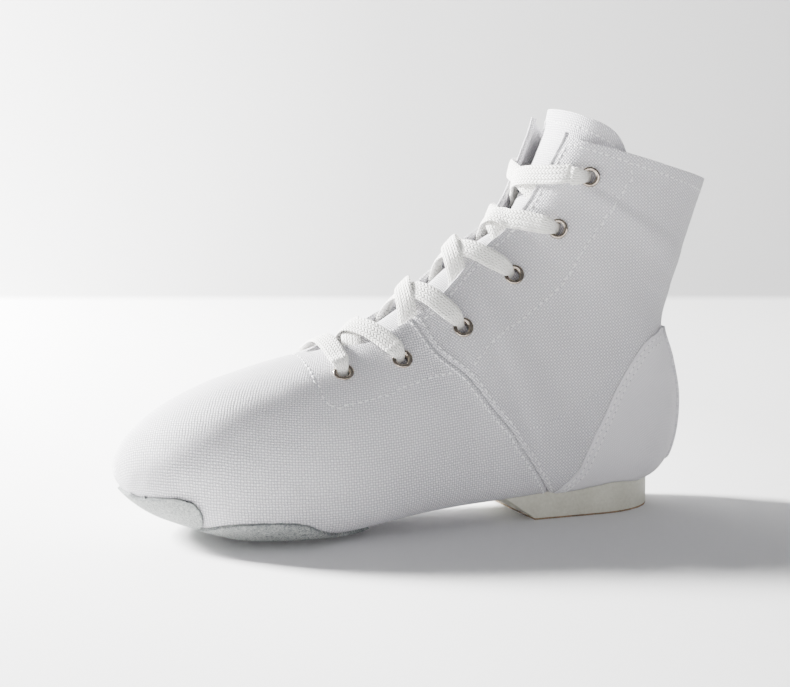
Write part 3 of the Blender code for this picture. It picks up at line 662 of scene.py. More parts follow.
def make_overlay(name, edge, middle, rows, columns, height, thickness, wobble=0.0):
    """A layer outside the upper, from its edge on the near side round underneath to the far side."""
    item, s, t = add_grid(name, rows, columns)
    across = 2 * t - 1
    edge_row, edge_angle = even_stops(edge, s)
    if wobble:
        uneven = soft_noise(np.stack((s, across, s * 0), 1), 0.05, 5)
        edge_angle = edge_angle - wobble * uneven * np.abs(across) ** 6
    middle_row = np.interp(s, np.linspace(0, 1, len(middle)), middle)
    reach = np.abs(across) ** 1.4
    u = middle_row + (edge_row - middle_row) * reach
    angle = math.pi - np.sign(across) * (math.pi - edge_angle) * np.abs(across)
    lay(item, skin(u, angle, np.full(len(u), height)))
    item.data.uv_layers[0].name = "cloth"
    lay_pattern(item, cloth_places(corners(item), (columns + 1, rows + 1)))
    rim = (np.abs(across) > 0.9999) | (s < 1e-5) | (s > 0.99999)
    points = corners(item)
    from_rim = distances(points, [points[rim]])
    lay_pattern(item, np.stack((from_rim, across), 1), "rim")
    face_out(item)
    give_thickness(item, thickness, offset=1.0, rim=min(thickness * 0.4, 0.0004))
    return item


TONGUE_ROOT = 4.35
TONGUE_TOP = 20.95
TONGUE_THICKNESS = 0.0016
TONGUE_TOP_REACH = 74


def tongue_top(across):
    """The row of the tongue's top edge, which falls off and rounds down towards its sides."""
    return TONGUE_TOP - 0.48 * across**2 - 0.55 * np.abs(across) ** 8


def make_tongue():
    """The tongue inside the throat, sewn to the vamp and standing above the collar."""
    rows, columns = 110, 44
    item, s, t = add_grid("tongue_cloth", rows, columns)
    across = 2 * t - 1
    u = TONGUE_ROOT + (tongue_top(across) - TONGUE_ROOT) * s
    drop = ease((u - 4.45) / 0.55)
    depth = WALL + 0.0003 + 0.0017 * drop
    reach = np.radians(np.interp(u, (TONGUE_ROOT, 4.9, 8.0, 14.0, 21.0), (20, 34, 50, 62, TONGUE_TOP_REACH)))
    points = last(u, across * reach)
    wave = 0.0009 * drop * soft_noise(points, 0.032, 12) * (1 - 0.6 * np.abs(across))
    hem = 0.0003 * ease((s - 0.955) / 0.012)
    lay(item, points - outward(u, across * reach) * (depth - wave - hem)[:, None])
    item.data.uv_layers[0].name = "cloth"
    lay_pattern(item, cloth_places(corners(item), (columns + 1, rows + 1)))
    face_out(item)
    give_thickness(item, TONGUE_THICKNESS, rim=0.0005)
    return item


BACK_STRIP_START = 12.1
BACK_STRIP_END = 16.15
BACK_STRIP_HEIGHT = 0.0008
BACK_STRIP_THICKNESS = 0.0011
# How far the strip's edge has turned from straight back, in degrees: at its ends, and more in its middle
BACK_STRIP_TURN = 23
BACK_STRIP_FULLNESS = 8


def make_back_strip():
    """The leaf-shaped strip over the counter's back seam, reaching round to where the heel turns forward."""
    rows, columns = 90, 24
    item, s, t = add_grid("back_seam_strip", rows, columns)
    across = 2 * t - 1
    u = BACK_STRIP_START + (BACK_STRIP_END - BACK_STRIP_START) * s
    steps = np.linspace(0, 1.2, 100)
    reach = np.empty(len(u))
    for place in np.unique(s):
        here = s == place
        normal = outward(np.full(100, u[here][0]), math.pi - steps)
        turned = np.maximum.accumulate(np.arctan2(np.abs(normal[:, 1]), normal[:, 0]))
        end = 0.05 + 0.95 * ease(place / 0.07) * ease((1 - place) / 0.05)
        edge = math.radians(BACK_STRIP_TURN + BACK_STRIP_FULLNESS * math.sin(math.pi * place) ** 0.7)
        reach[here] = end * np.interp(edge, turned, steps)
    angle = math.pi - across * reach
    lay(item, skin(u, angle, np.full(len(u), BACK_STRIP_HEIGHT)))
    item.data.uv_layers[0].name = "cloth"
    lay_pattern(item, cloth_places(corners(item), (columns + 1, rows + 1)))
    face_out(item)
    give_thickness(item, BACK_STRIP_THICKNESS, offset=1.0, rim=0.0003)
    return item


ROLL_STANDS = 0.00125
ROLL_REACHES = 0.00085
ROLL_SINKS = 0.00065


def make_rolled_edges():
    """The turned-over front edge of each quarter: a soft roll along the throat."""
    edges = []
    for side in (1, -1):
        rows = np.linspace(7.7, 20.2, 260)
        edge = side * (throat(rows) + 0.010)
        rise = FAR_CORNER_RISE * ease((rows - 17) / 3) * (side < 0)
        centre = last(rows + rise, edge)
        normal = outward(rows, edge)
        centre = centre + normal * (far_lift(rows, edge) - ROLL_SINKS)[:, None]
        along = np.gradient(centre, axis=0)
        along /= np.linalg.norm(along, axis=1)[:, None]
        across = np.cross(along, normal)
        item, s, t = add_grid(f"rolled_edge_{'near' if side > 0 else 'far'}", len(rows) - 1, 12)
        stop = np.rint(s * (len(rows) - 1)).astype(int)
        round_about = t * math.tau
        points = (
            centre[stop]
            + normal[stop] * (ROLL_STANDS * np.sin(round_about))[:, None]
            + across[stop] * (ROLL_REACHES * np.cos(round_about))[:, None]
        )
        lay(item, points)
        item.data.uv_layers[0].name = "cloth"
        lay_pattern(item, np.stack((rows[stop] * 0.012, t * 0.006), 1))
        merge(item, 1e-7)
        edges.append(item)
    return edges


# Heel

HEEL_HALF_WIDTH = 0.026
HEEL_FRONT = -0.026
HEEL_REAR = 0.0350
HEEL_ROUND_LENGTH = 0.030
HEEL_RAKE = 0.013
TREAD = 0.0007
HEEL_PROBES = ((0, 0), (0.0008, 0), (-0.0008, 0), (0, 0.0008), (0, -0.0008))


def heel_plan(share, across, front):
    """A place on the heel block's outline, straight in front and round at the back."""
    x = front + (HEEL_REAR - front) * share
    past = np.maximum(x - (HEEL_REAR - HEEL_ROUND_LENGTH), 0) / HEEL_ROUND_LENGTH
    return x, across * HEEL_HALF_WIDTH * np.sqrt(np.maximum(1 - past**2, 0))


def make_heel_block(carried):
    """The block, raised from its plan until it meets the counter, with its edges softened."""
    item, _, _ = add_grid("heel_block", 56, 36)
    trees = [BVHTree.FromObject(piece, bpy.context.evaluated_depsgraph_get()) for piece in carried]
    bpy.ops.object.mode_set(mode="EDIT")
    bpy.ops.mesh.select_all(action="SELECT")
    bpy.ops.mesh.extrude_region_move(TRANSFORM_OT_translate={"value": (0, 0, 1)})
    bpy.ops.object.mode_set(mode="OBJECT")
    shape = corners(item)
    share = np.sin((shape[:, 0] + 1) / 2 * math.pi / 2)
    top = shape[:, 2] > 0.5
    x, y = heel_plan(share, shape[:, 1], HEEL_FRONT - HEEL_RAKE * top)
    z = np.full(len(x), TREAD)
    for index in np.flatnonzero(top):
        spots = [(x[index] + step[0], y[index] + step[1], -1) for step in HEEL_PROBES]
        hits = [tree.ray_cast(Vector(spot), Vector((0, 0, 1)))[0] for tree in trees for spot in spots]
        z[index] = min(hit.z for hit in hits if hit) + 0.0002
    lay(item, np.stack((x, y, z), 1))
    merge(item, 1e-6)
    edge = item.modifiers.new("softened edges", "BEVEL")
    edge.width = 0.0010
    edge.segments = 3
    edge.limit_method = "ANGLE"
    edge.angle_limit = math.radians(50)
    apply_all(item)
    return item


def make_heel_tread():
    """The walking layer: a thin rough-cut sheet that shows as a line under the block."""
    item, _, _ = add_grid("heel_walking_layer", 56, 36)
    bpy.ops.object.mode_set(mode="EDIT")
    bpy.ops.mesh.select_all(action="SELECT")
    bpy.ops.mesh.extrude_region_move(TRANSFORM_OT_translate={"value": (0, 0, 1)})
    bpy.ops.object.mode_set(mode="OBJECT")
    shape = corners(item)
    share = np.sin((shape[:, 0] + 1) / 2 * math.pi / 2)
    x, y = heel_plan(share, shape[:, 1], HEEL_FRONT)
    rim = np.maximum(np.abs(shape[:, 1]), np.maximum(shape[:, 0], -shape[:, 0])) > 0.999
    place = np.stack((x, y, shape[:, 2] * TREAD), 1)
    uneven = 0.00025 * soft_noise(place, 0.004, 4) * rim
    place[:, 0] += uneven * np.sign(shape[:, 0])
    place[:, 1] += uneven * np.sign(shape[:, 1])
    lay(item, place)
    merge(item, 1e-6)
    return item


# Eyelets

def make_eyelet():
    """One rolled eyelet about the Z axis: its flange outside, barrel and back roll."""
    deselect()
    bpy.ops.mesh.primitive_circle_add(
        vertices=14, radius=0.00078, rotation=(math.pi / 2, 0, 0), location=(0.00335, 0, 0.00062)
    )
    flange = bpy.context.object
    bpy.ops.object.transform_apply(location=True, rotation=True, scale=True)
    bpy.ops.object.mode_set(mode="EDIT")
    bpy.ops.mesh.select_all(action="SELECT")
    bpy.ops.transform.resize(value=(1, 1, 0.62), center_override=(0.00335, 0, 0.00062))
    bpy.ops.mesh.spin(steps=36, angle=math.tau, center=(0, 0, 0), axis=(0, 0, 1))
    bpy.ops.object.mode_set(mode="OBJECT")
    merge(flange, 1e-6)
    bpy.ops.mesh.primitive_cylinder_add(
        vertices=36, radius=0.00262, depth=0.0040, end_fill_type="NOTHING", location=(0, 0, -0.0013)
    )
    barrel = bpy.context.object
    bpy.ops.object.transform_apply(location=True, rotation=True, scale=True)
    give_thickness(barrel, 0.00028, offset=0.0)
    bpy.ops.mesh.primitive_torus_add(
        major_segments=36, minor_segments=8, major_radius=0.0030, minor_radius=0.00045, location=(0, 0, -0.0032)
    )
    back = bpy.context.object
    bpy.ops.object.transform_apply(location=True, rotation=True, scale=True)
    return joined("eyelet", (flange, barrel, back))


def set_eyelets(metal):
    """A copy of the eyelet in each hole, square to the cloth."""
    model = make_eyelet()
    for pair, side, _, _, point, normal in EYELET_PLACES:
        deselect()
        name = f"eyelet_{pair + 1}_{'out' if side > 0 else 'in'}"
        item = model.copy()
        item.data = model.data.copy()
        bpy.context.scene.collection.objects.link(item)
        turn = Vector(normal).to_track_quat("Z", "Y").to_matrix().to_4x4()
        item.data.transform(Matrix.Translation(Vector(point)) @ turn)
        finish(name_piece(item, f"rolled_{name}"), metal, "nickel", name)
    bpy.data.objects.remove(model)


# Laces

Run = namedtuple("Run", "share height width thickness")
LACE_WIDTH = 0.0080
LACE_THICKNESS = 0.00125
LACE_SIDES = 18
# How far down towards the next eyelet the strap dips under the other quarter
LACE_TUCK = 0.70


def evened(values, reach=4):
    """Each row's average with its neighbours."""
    padded = np.pad(values, ((reach, reach), (0, 0)), mode="edge")
    return sum(padded[start:start + len(values)] for start in range(2 * reach + 1)) / (2 * reach + 1)


def make_strap(name, start, end, runs, slack=0.0, seed=1):
    """A flat lace over the last between two places, each a length on the crest and an angle."""
    runs = smooth_line(runs, 8)
    shares, heights, widths, thicks = runs.T
    lengths = start[0] + (end[0] - start[0]) * shares
    angles = start[1] + (end[1] - start[1]) * shares
    rows = np.interp(lengths, CREST_LENGTHS, CREST_ROWS)
    base = last(rows, angles)
    normals = outward(rows, angles)
    heights = heights + far_lift(rows, angles)
    centres = base + normals * heights[:, None]
    normals = evened(normals)
    normals /= np.linalg.norm(normals, axis=1)[:, None]
    travel = evened(np.gradient(base, axis=0))
    travel -= normals * np.sum(travel * normals, 1)[:, None]
    travel /= np.linalg.norm(travel, axis=1)[:, None]
    across = np.cross(travel, normals)
    tangent = np.gradient(centres, axis=0)
    tangent /= np.linalg.norm(tangent, axis=1)[:, None]
    lift = np.cross(across, tangent)
    walked = walked_along(centres)
    item, s, t = add_grid(name, len(centres) - 1, LACE_SIDES)
    stop = np.rint(s * (len(centres) - 1)).astype(int)
    turn = t * math.tau
    wide = np.sign(np.cos(turn)) * np.abs(np.cos(turn)) ** 0.55
    thick = np.sign(np.sin(turn)) * np.abs(np.sin(turn)) ** 0.8
    twist = slack * np.sin(walked / walked[-1] * math.pi)[stop]
    cup = -0.00035 * wide**2 * np.clip(widths[stop] / LACE_WIDTH - 0.6, 0, 1)
    points = (
        centres[stop]
        + across[stop] * (wide * widths[stop] / 2)[:, None]
        + lift[stop] * (thick * thicks[stop] / 2 + cup + twist * wide * 0.0016)[:, None]
    )
    lay(item, points)
    item.data.uv_layers[0].name = "cloth"
    lay_pattern(item, np.stack((walked[stop] + seed * 0.003, wide * LACE_WIDTH / 2), 1))
    merge(item, 1e-7)
    bpy.ops.object.mode_set(mode="EDIT")
    bpy.ops.mesh.select_all(action="SELECT")
    bpy.ops.mesh.fill_holes(sides=0)
    bpy.ops.mesh.normals_make_consistent(inside=False)
    bpy.ops.object.mode_set(mode="OBJECT")
    return item


def lace_up(braid):
    """The bar at the first eyelets and a crossing of two straps at each later pair."""
    at = {}
    for pair, side, row, angle, _, _ in EYELET_PLACES:
        at[pair, side] = (float(np.interp(row, CREST_ROWS, CREST_LENGTHS)), angle)
    in_hole = (-0.0028, 0.0040, 0.0018)
    rim = (0.0010, 0.0053, 0.0019)
    out = (0.0026, 0.0072, 0.0016)
    full = (LACE_WIDTH, LACE_THICKNESS)
    bar = (
        Run(0.012, *in_hole), Run(0.040, *rim), Run(0.090, *out), Run(0.17, 0.0022, 0.0079, 0.0014),
        Run(0.33, 0.0026, *full), Run(0.5, 0.0031, *full),
        Run(0.67, 0.0026, *full), Run(0.83, 0.0022, 0.0079, 0.0014), Run(0.915, *out),
        Run(0.96, *rim), Run(0.988, *in_hole),
    )
    strap = make_strap("lace_bar_braid", at[0, 1], at[0, -1], bar)
    finish(strap, braid, "lace_braid", "lace_bar")
    for pair, over in ((1, 1), (2, -1), (3, -1), (4, 1), (5, 1)):
        straps = []
        for side in (1, -1):
            high, low = at[pair, side], at[pair - 1, -side]
            tuck_length = high[0] + (low[0] - high[0]) * LACE_TUCK
            edge_angle = float(throat(np.interp(tuck_length, CREST_LENGTHS, CREST_ROWS)))
            end = (tuck_length, -side * edge_angle)
            span = abs(high[1] - end[1])
            crossing = abs(high[1]) / span
            edge = (abs(high[1]) - float(throat(EYELETS[pair][0]))) / span
            lift = 0.0030 if side == over else 0.0009
            runs = (
                Run(0.016, *in_hole),
                Run(0.046, *rim),
                Run(0.05 + edge * 0.15, *out),
                Run(0.02 + edge * 0.48, 0.0023, 0.0079, 0.0014),
                Run(edge, 0.0021, *full),
                Run((edge + crossing) / 2, 0.0012 + lift / 2, *full),
                Run(crossing, lift, *full),
                Run((crossing + 0.93) / 2, lift * 0.5, *full),
                Run(0.93, -0.0012, *full),
                Run(1.06, -WALL - 0.0010, LACE_WIDTH * 0.94, LACE_THICKNESS),
                Run(1.16, -WALL - 0.0010, LACE_WIDTH * 0.9, LACE_THICKNESS),
            )
            name = f"lace_{'near' if side > 0 else 'far'}_{pair + 1}"
            straps.append(make_strap(name, high, end, runs, slack=0.25 * side, seed=pair * 2 + side))
        for strap in straps:
            finish(strap, braid, "lace_braid", f"lace_crossing_{pair + 1}")


# Stitches

def make_bead(name, length, width, height):
    """A small rounded bead with its length along X."""
    deselect()
    bpy.ops.mesh.primitive_uv_sphere_add(segments=8, ring_count=6, radius=0.5)
    item = bpy.context.object
    item.scale = (length, width, height)
    bpy.ops.object.transform_apply(location=False, rotation=False, scale=True)
    return name_piece(item, name)


def scatter(name, model, places, material, slot):
    """Copies of a small model at (point, axes), as one mesh."""
    pattern = corners(model)
    faces = [tuple(face.vertices) for face in model.data.polygons]
    points = [pattern @ axes + point for point, axes in places]
    polygons = []
    for copy in range(len(points)):
        polygons.extend(tuple(copy * len(pattern) + corner for corner in face) for face in faces)
    data = bpy.data.meshes.new(name)
    data.from_pydata(np.vstack(points).tolist(), [], polygons)
    item = bpy.data.objects.new(name, data)
    bpy.context.scene.collection.objects.link(item)
    return finish(item, material, slot)


def sew(name, lines, cloth, thread, hole_shade, pitch=0.0029):
    """Rows of stitches on the outside of some pieces, with grey discs between them as painted shade for the
    needle's holes.
    """
    tree = BVHTree.FromPolygons(*gathered(cloth))
    random = np.random.default_rng(len(name))
    stitches, hole_shades = [], []
    for u, angle in lines:
        path = skin(u, angle, np.full(len(u), 0.003))
        walked = walked_along(path)
        stops = np.arange(pitch / 2, walked[-1], pitch)
        places = np.stack([np.interp(stops, walked, path[:, axis]) for axis in range(3)], 1)
        ahead = np.stack([np.interp(stops + pitch / 4, walked, path[:, axis]) for axis in range(3)], 1)
        for place, towards in zip(places, ahead):
            spot, normal, _, _ = tree.find_nearest(Vector(place))
            if spot is None:
                continue
            along = Vector(towards - place)
            along = (along - normal * along.dot(normal)).normalized()
            axes = np.array((along, normal.cross(along), normal))
            sway = axes[1] * random.normal(0, 0.00006)
            raised = np.array(spot + normal * 0.00006) + sway
            stitches.append((raised, axes * random.uniform(0.88, 1.08)))
            # Painted shade: a flat grey disc at each needle hole stands in for the shade in the hole.
            hole = spot + along * pitch / 2
            hole, facing, _, _ = tree.find_nearest(hole)
            hole_shades.append((np.array(hole + facing * 0.00001) + sway, axes))
    stitch = make_bead("stitch", 0.0022, 0.00062, 0.00050)
    # A flat grey disc: painted shade for a needle hole.
    shade_disc = make_bead("shade_disc", 0.00062, 0.00048, 0.00010)
    scatter(name, stitch, stitches, thread, "canvas")
    scatter(f"{name}_needle_hole_shade", shade_disc, hole_shades, hole_shade, "canvas")
    bpy.data.objects.remove(stitch)
    bpy.data.objects.remove(shade_disc)


def gathered(pieces):
    """The vertices and faces of several pieces together."""
    points, polygons = [], []
    for piece in pieces:
        first = len(points)
        points.extend(vertex.co.copy() for vertex in piece.data.vertices)
        polygons.extend([first + corner for corner in face.vertices] for face in piece.data.polygons)
    return points, polygons


def both_sides(line):
    """A line of rows and angles, and its twin on the far half."""
    u, angle = line
    return [(u, angle), (u, -angle)]


def beside(line, distance):
    """A line that runs at a distance beside another, over the surface."""
    u, angle = line
    points = last(u, angle)
    travel = np.gradient(points, axis=0)
    travel /= np.linalg.norm(travel, axis=1)[:, None]
    shifted = points + np.cross(outward(u, angle), travel) * distance
    step = 0.01
    along = (last(u + step, angle) - points) / step
    around = (last(u, angle + step) - points) / step
    moved = shifted - points
    along_along, along_around, around_around, along_moved, around_moved = (
        np.sum(first * second, 1)
        for first, second in (
            (along, along), (along, around), (around, around), (along, moved), (around, moved),
        )
    )
    under = along_along * around_around - along_around**2
    more_row = (along_moved * around_around - around_moved * along_around) / under
    more_angle = (around_moved * along_along - along_moved * along_around) / under
    return u + more_row, angle + more_angle


# Materials

def value_node(tree, operation, first, second=None):
    """A Math node on one or two values, each a socket or a number."""
    node = tree.nodes.new("ShaderNodeMath")
    node.operation = operation
    for socket, value in zip(node.inputs, (first, second)):
        if isinstance(value, bpy.types.NodeSocket):
            tree.links.new(value, socket)
        elif value is not None:
            socket.default_value = value
    return node.outputs[0]


def clamp_node(tree, value):
    """Keeps a value from 0 to 1."""
    return value_node(tree, "MAXIMUM", value_node(tree, "MINIMUM", value, 1.0), 0.0)


def noise_node(tree, vector, scale, detail=2.0, roughness=0.5):
    """Uneven grey from 0 to 1."""
    node = tree.nodes.new("ShaderNodeTexNoise")
    tree.links.new(vector, node.inputs["Vector"])
    node.inputs["Scale"].default_value = scale
    node.inputs["Detail"].default_value = detail
    node.inputs["Roughness"].default_value = roughness
    return node.outputs["Fac"]


def mix_node(tree, factor, first, second):
    """A value between two others."""
    node = tree.nodes.new("ShaderNodeMix")
    node.data_type = "FLOAT"
    for socket, value in zip(node.inputs[:1] + node.inputs[2:4], (factor, first, second)):
        if isinstance(value, bpy.types.NodeSocket):
            tree.links.new(value, socket)
        else:
            socket.default_value = value
    return node.outputs[0]


def colour_node(tree, factor, stops):
    """A colour for each value, through a few stops."""
    node = tree.nodes.new("ShaderNodeValToRGB")
    tree.links.new(factor, node.inputs[0])
    ramp = node.color_ramp
    ramp.elements[0].position, ramp.elements[0].color = stops[0][0], (*stops[0][1], 1)
    ramp.elements[1].position, ramp.elements[1].color = stops[-1][0], (*stops[-1][1], 1)
    for place, colour in stops[1:-1]:
        ramp.elements.new(place).color = (*colour, 1)
    return node.outputs[0]


def new_group(name, outputs):
    """A shader group that reads a place in metres and a scale."""
    group = bpy.data.node_groups.new(name, "ShaderNodeTree")
    group.interface.new_socket("Place", in_out="INPUT", socket_type="NodeSocketVector")
    group.interface.new_socket("Pitch", in_out="INPUT", socket_type="NodeSocketFloat")
    for output in outputs:
        group.interface.new_socket(output, in_out="OUTPUT", socket_type="NodeSocketFloat")
    inside = group.nodes.new("NodeGroupInput")
    outside = group.nodes.new("NodeGroupOutput")
    return group, inside.outputs["Place"], inside.outputs["Pitch"], outside.inputs


def split_node(tree, vector):
    """A place's x, y and z."""
    node = tree.nodes.new("ShaderNodeSeparateXYZ")
    tree.links.new(vector, node.inputs[0])
    return node.outputs


def plain_weave():
    """Threads over and under one another, with their small unevenness. Height is 0 in the gaps."""
    group, place, pitch, out = new_group("plain weave", ("Height", "Thread"))
    x, y, _ = split_node(group, place)
    drift = value_node(group, "MULTIPLY", noise_node(group, place, 260, 2), 0.9)
    x = value_node(group, "ADD", value_node(group, "DIVIDE", x, pitch), drift)
    drift = value_node(group, "MULTIPLY", noise_node(group, place, 310, 2), 0.9)
    y = value_node(group, "ADD", value_node(group, "DIVIDE", y, pitch), drift)
    number = value_node(group, "ADD", value_node(group, "FLOOR", x), value_node(group, "FLOOR", y))
    other = value_node(group, "FLOORED_MODULO", number, 2)
    wave_x = value_node(group, "SINE", value_node(group, "MULTIPLY", value_node(group, "FRACT", x), math.pi))
    wave_y = value_node(group, "SINE", value_node(group, "MULTIPLY", value_node(group, "FRACT", y), math.pi))
    weft = value_node(group, "MULTIPLY", value_node(group, "POWER", wave_x, 0.45), wave_y)
    warp = value_node(group, "MULTIPLY", value_node(group, "POWER", wave_y, 0.45), wave_x)
    warp = value_node(group, "MULTIPLY", warp, 0.68)
    group.links.new(mix_node(group, other, weft, warp), out["Height"])
    group.links.new(noise_node(group, place, 2400, 2), out["Thread"])
    return group


def flat_braid():
    """Ribs along the lace, each crossed by slanting strands that turn about from rib to rib."""
    group, place, pitch, out = new_group("flat braid", ("Height",))
    x, y, _ = split_node(group, place)
    rib = value_node(group, "DIVIDE", y, pitch)
    inside = value_node(group, "FRACT", rib)
    turned = value_node(group, "FLOORED_MODULO", value_node(group, "FLOOR", rib), 2)
    slant = value_node(group, "SUBTRACT", value_node(group, "MULTIPLY", turned, 1.4), 0.7)
    strand = value_node(group, "MULTIPLY", value_node(group, "DIVIDE", x, pitch), 0.66)
    strand = value_node(group, "ADD", strand, value_node(group, "MULTIPLY", slant, inside))
    wave = value_node(group, "SINE", value_node(group, "MULTIPLY", strand, math.pi))
    wave = value_node(group, "ABSOLUTE", wave)
    round_rib = value_node(group, "SINE", value_node(group, "MULTIPLY", inside, math.pi))
    round_rib = value_node(group, "POWER", round_rib, 0.55)
    height = value_node(group, "MULTIPLY", mix_node(group, wave, 0.15, 1.0), round_rib)
    group.links.new(height, out["Height"])
    return group


def nap():
    """Raised fibres: clumps, single hairs and worn flecks."""
    group, place, pitch, out = new_group("nap", ("Height", "Fleck"))
    scale = value_node(group, "DIVIDE", 1.0, pitch)
    node = group.nodes.new("ShaderNodeTexNoise")
    group.links.new(place, node.inputs["Vector"])
    group.links.new(scale, node.inputs["Scale"])
    node.inputs["Detail"].default_value = 5
    node.inputs["Roughness"].default_value = 0.7
    fine = noise_node(group, place, 4200, 3, 0.7)
    group.links.new(value_node(group, "MULTIPLY", node.outputs["Fac"], 0.7), out["Height"])
    group.links.new(mix_node(group, 0.55, node.outputs["Fac"], fine), out["Fleck"])
    return group


WEAVE, BRAID, NAP = plain_weave(), flat_braid(), nap()


def new_material(name):
    """A new material, its node tree and its shader."""
    material = bpy.data.materials.new(name)
    material.use_nodes = True
    return material, material.node_tree, material.node_tree.nodes["Principled BSDF"]


def place_on_cloth(tree):
    """Where a point lies on the piece's uncut cloth."""
    node = tree.nodes.new("ShaderNodeUVMap")
    node.uv_map = "cloth"
    return node.outputs["UV"]


def place_in_shoe(tree):
    """Where a point lies in the shoe."""
    return tree.nodes.new("ShaderNodeTexCoord").outputs["Object"]


def use_group(tree, group, place, pitch):
    """Places a shader group in a material, with its own pitch."""
    node = tree.nodes.new("ShaderNodeGroup")
    node.node_tree = group
    tree.links.new(place, node.inputs["Place"])
    node.inputs["Pitch"].default_value = pitch
    return node.outputs


def bump(tree, shader, height, distance, strength=1.0):
    """Small relief on the surface."""
    node = tree.nodes.new("ShaderNodeBump")
    node.inputs["Distance"].default_value = distance
    node.inputs["Strength"].default_value = strength
    tree.links.new(height, node.inputs["Height"])
    tree.links.new(node.outputs[0], shader.inputs["Normal"])


def woven_cloth(name, pitch, light, dark, place=place_on_cloth, depth=0.00016):
    """Plain-woven cotton: light threads with darker gaps, its colour following the weave's height as painted
    shade in the gaps and painted highlight on the raised crossings.
    """
    material, tree, shader = new_material(name)
    spot = place(tree)
    weave = use_group(tree, WEAVE, spot, pitch)
    soil = noise_node(tree, place_in_shoe(tree), 38, 3)
    # Painted light: the weave's height sets the colour, so the gaps and lower crossings are painted dark as
    # shade and the raised crossings light as highlight; the soil noise adds real unevenness.
    tone = mix_node(tree, 0.16, weave["Height"], soil)
    tree.links.new(colour_node(tree, tone, ((0.05, dark), (0.78, light))), shader.inputs["Base Color"])
    height = mix_node(tree, 0.12, weave["Height"], weave["Thread"])
    bump(tree, shader, height, depth, 0.9)
    shader.inputs["Roughness"].default_value = 0.88
    shader.inputs["Specular IOR Level"].default_value = 0.25
    shader.inputs["Sheen Weight"].default_value = 0.25
    shader.inputs["Sheen Roughness"].default_value = 0.5
    return material


def braid_material():
    """The cream cotton of the flat lace, painted darker in the braid's grooves as painted shade."""
    material, tree, shader = new_material("lace braid")
    braid = use_group(tree, BRAID, place_on_cloth(tree), 0.00114)
    fuzz = noise_node(tree, place_in_shoe(tree), 1900, 2)
    tone = mix_node(tree, 0.2, braid["Height"], fuzz)
    # Painted shade: the colour follows the braid's relief, darker in the grooves between strands and ribs.
    stops = ((0.06, (0.70, 0.69, 0.58)), (0.34, (0.995, 0.985, 0.935)))
    tree.links.new(colour_node(tree, tone, stops), shader.inputs["Base Color"])
    bump(tree, shader, tone, 0.00055, 1.0)
    shader.inputs["Roughness"].default_value = 0.85
    shader.inputs["Sheen Weight"].default_value = 0.6
    return material


def thread_material():
    """White sewing thread."""
    material, tree, shader = new_material("sewing thread")
    twist = noise_node(tree, place_in_shoe(tree), 2600, 2)
    stops = ((0.3, (0.80, 0.80, 0.80)), (0.7, (0.93, 0.93, 0.93)))
    tree.links.new(colour_node(tree, twist, stops), shader.inputs["Base Color"])
    bump(tree, shader, twist, 0.00008, 0.8)
    shader.inputs["Roughness"].default_value = 0.6
    shader.inputs["Sheen Weight"].default_value = 0.2
    return material


def suede_material():
    """Grey suede with curled fibres, darker along its cut rim."""
    material, tree, shader = new_material("napped suede")
    fibres = use_group(tree, NAP, place_in_shoe(tree), 0.0016)
    rim = tree.nodes.new("ShaderNodeUVMap")
    rim.uv_map = "rim"
    from_rim = value_node(tree, "DIVIDE", split_node(tree, rim.outputs["UV"])[0], 0.0011)
    worn = value_node(tree, "SUBTRACT", noise_node(tree, place_in_shoe(tree), 210, 4, 0.7), 0.42)
    inside = value_node(tree, "ADD", from_rim, value_node(tree, "MULTIPLY", worn, 4.0))
    inside = clamp_node(tree, inside)
    curl = value_node(tree, "SUBTRACT", noise_node(tree, place_in_shoe(tree), 1150, 5, 0.85), 0.36)
    curl = clamp_node(tree, value_node(tree, "MULTIPLY", curl, 3.4))
    tone = value_node(tree, "MULTIPLY", curl, mix_node(tree, inside, 0.4, 1.0))
    stops = (
        (0.0, (0.05, 0.06, 0.07)),
        (0.22, (0.20, 0.23, 0.23)),
        (0.45, (0.40, 0.43, 0.41)),
        (0.70, (0.54, 0.56, 0.53)),
        (1.0, (0.70, 0.72, 0.68)),
    )
    tree.links.new(colour_node(tree, tone, stops), shader.inputs["Base Color"])
    bump(tree, shader, mix_node(tree, 0.5, curl, fibres["Fleck"]), 0.0010, 1.0)
    shader.inputs["Roughness"].default_value = 0.98
    shader.inputs["Sheen Weight"].default_value = 0.5
    shader.inputs["Sheen Roughness"].default_value = 0.6
    return material


def rubber_material(name, dark, light, roughness, grain):
    """Matt rubber with a little soil."""
    material, tree, shader = new_material(name)
    spot = place_in_shoe(tree)
    cloud = noise_node(tree, spot, 55, 5, 0.6)
    fine = noise_node(tree, spot, grain, 3)
    tone = mix_node(tree, 0.35, cloud, fine)
    tree.links.new(colour_node(tree, tone, ((0.3, dark), (0.65, light))), shader.inputs["Base Color"])
    bump(tree, shader, tone, 0.00025, 0.6)
    tree.links.new(mix_node(tree, cloud, roughness - 0.1, roughness + 0.12), shader.inputs["Roughness"])
    return material


def nickel_material():
    """Polished metal of the eyelets, a little worn, its colour painted dark in patches as a painted reflection
    of dark surroundings.
    """
    material, tree, shader = new_material("polished nickel")
    spot = place_in_shoe(tree)
    wear_and_painted_reflection = noise_node(tree, spot, 420, 4, 0.6)
    # Painted reflection: the metal's colour is kept dark, and darker in patches, standing in for dark
    # surroundings reflected in it; the same patches vary the roughness as wear.
    stops = ((0.3, (0.20, 0.17, 0.14)), (0.7, (0.50, 0.44, 0.37)))
    tree.links.new(colour_node(tree, wear_and_painted_reflection, stops), shader.inputs["Base Color"])
    tree.links.new(mix_node(tree, wear_and_painted_reflection, 0.08, 0.24), shader.inputs["Roughness"])
    bump(tree, shader, wear_and_painted_reflection, 0.00004, 0.5)
    shader.inputs["Metallic"].default_value = 1.0
    return material


# Floor, light and camera

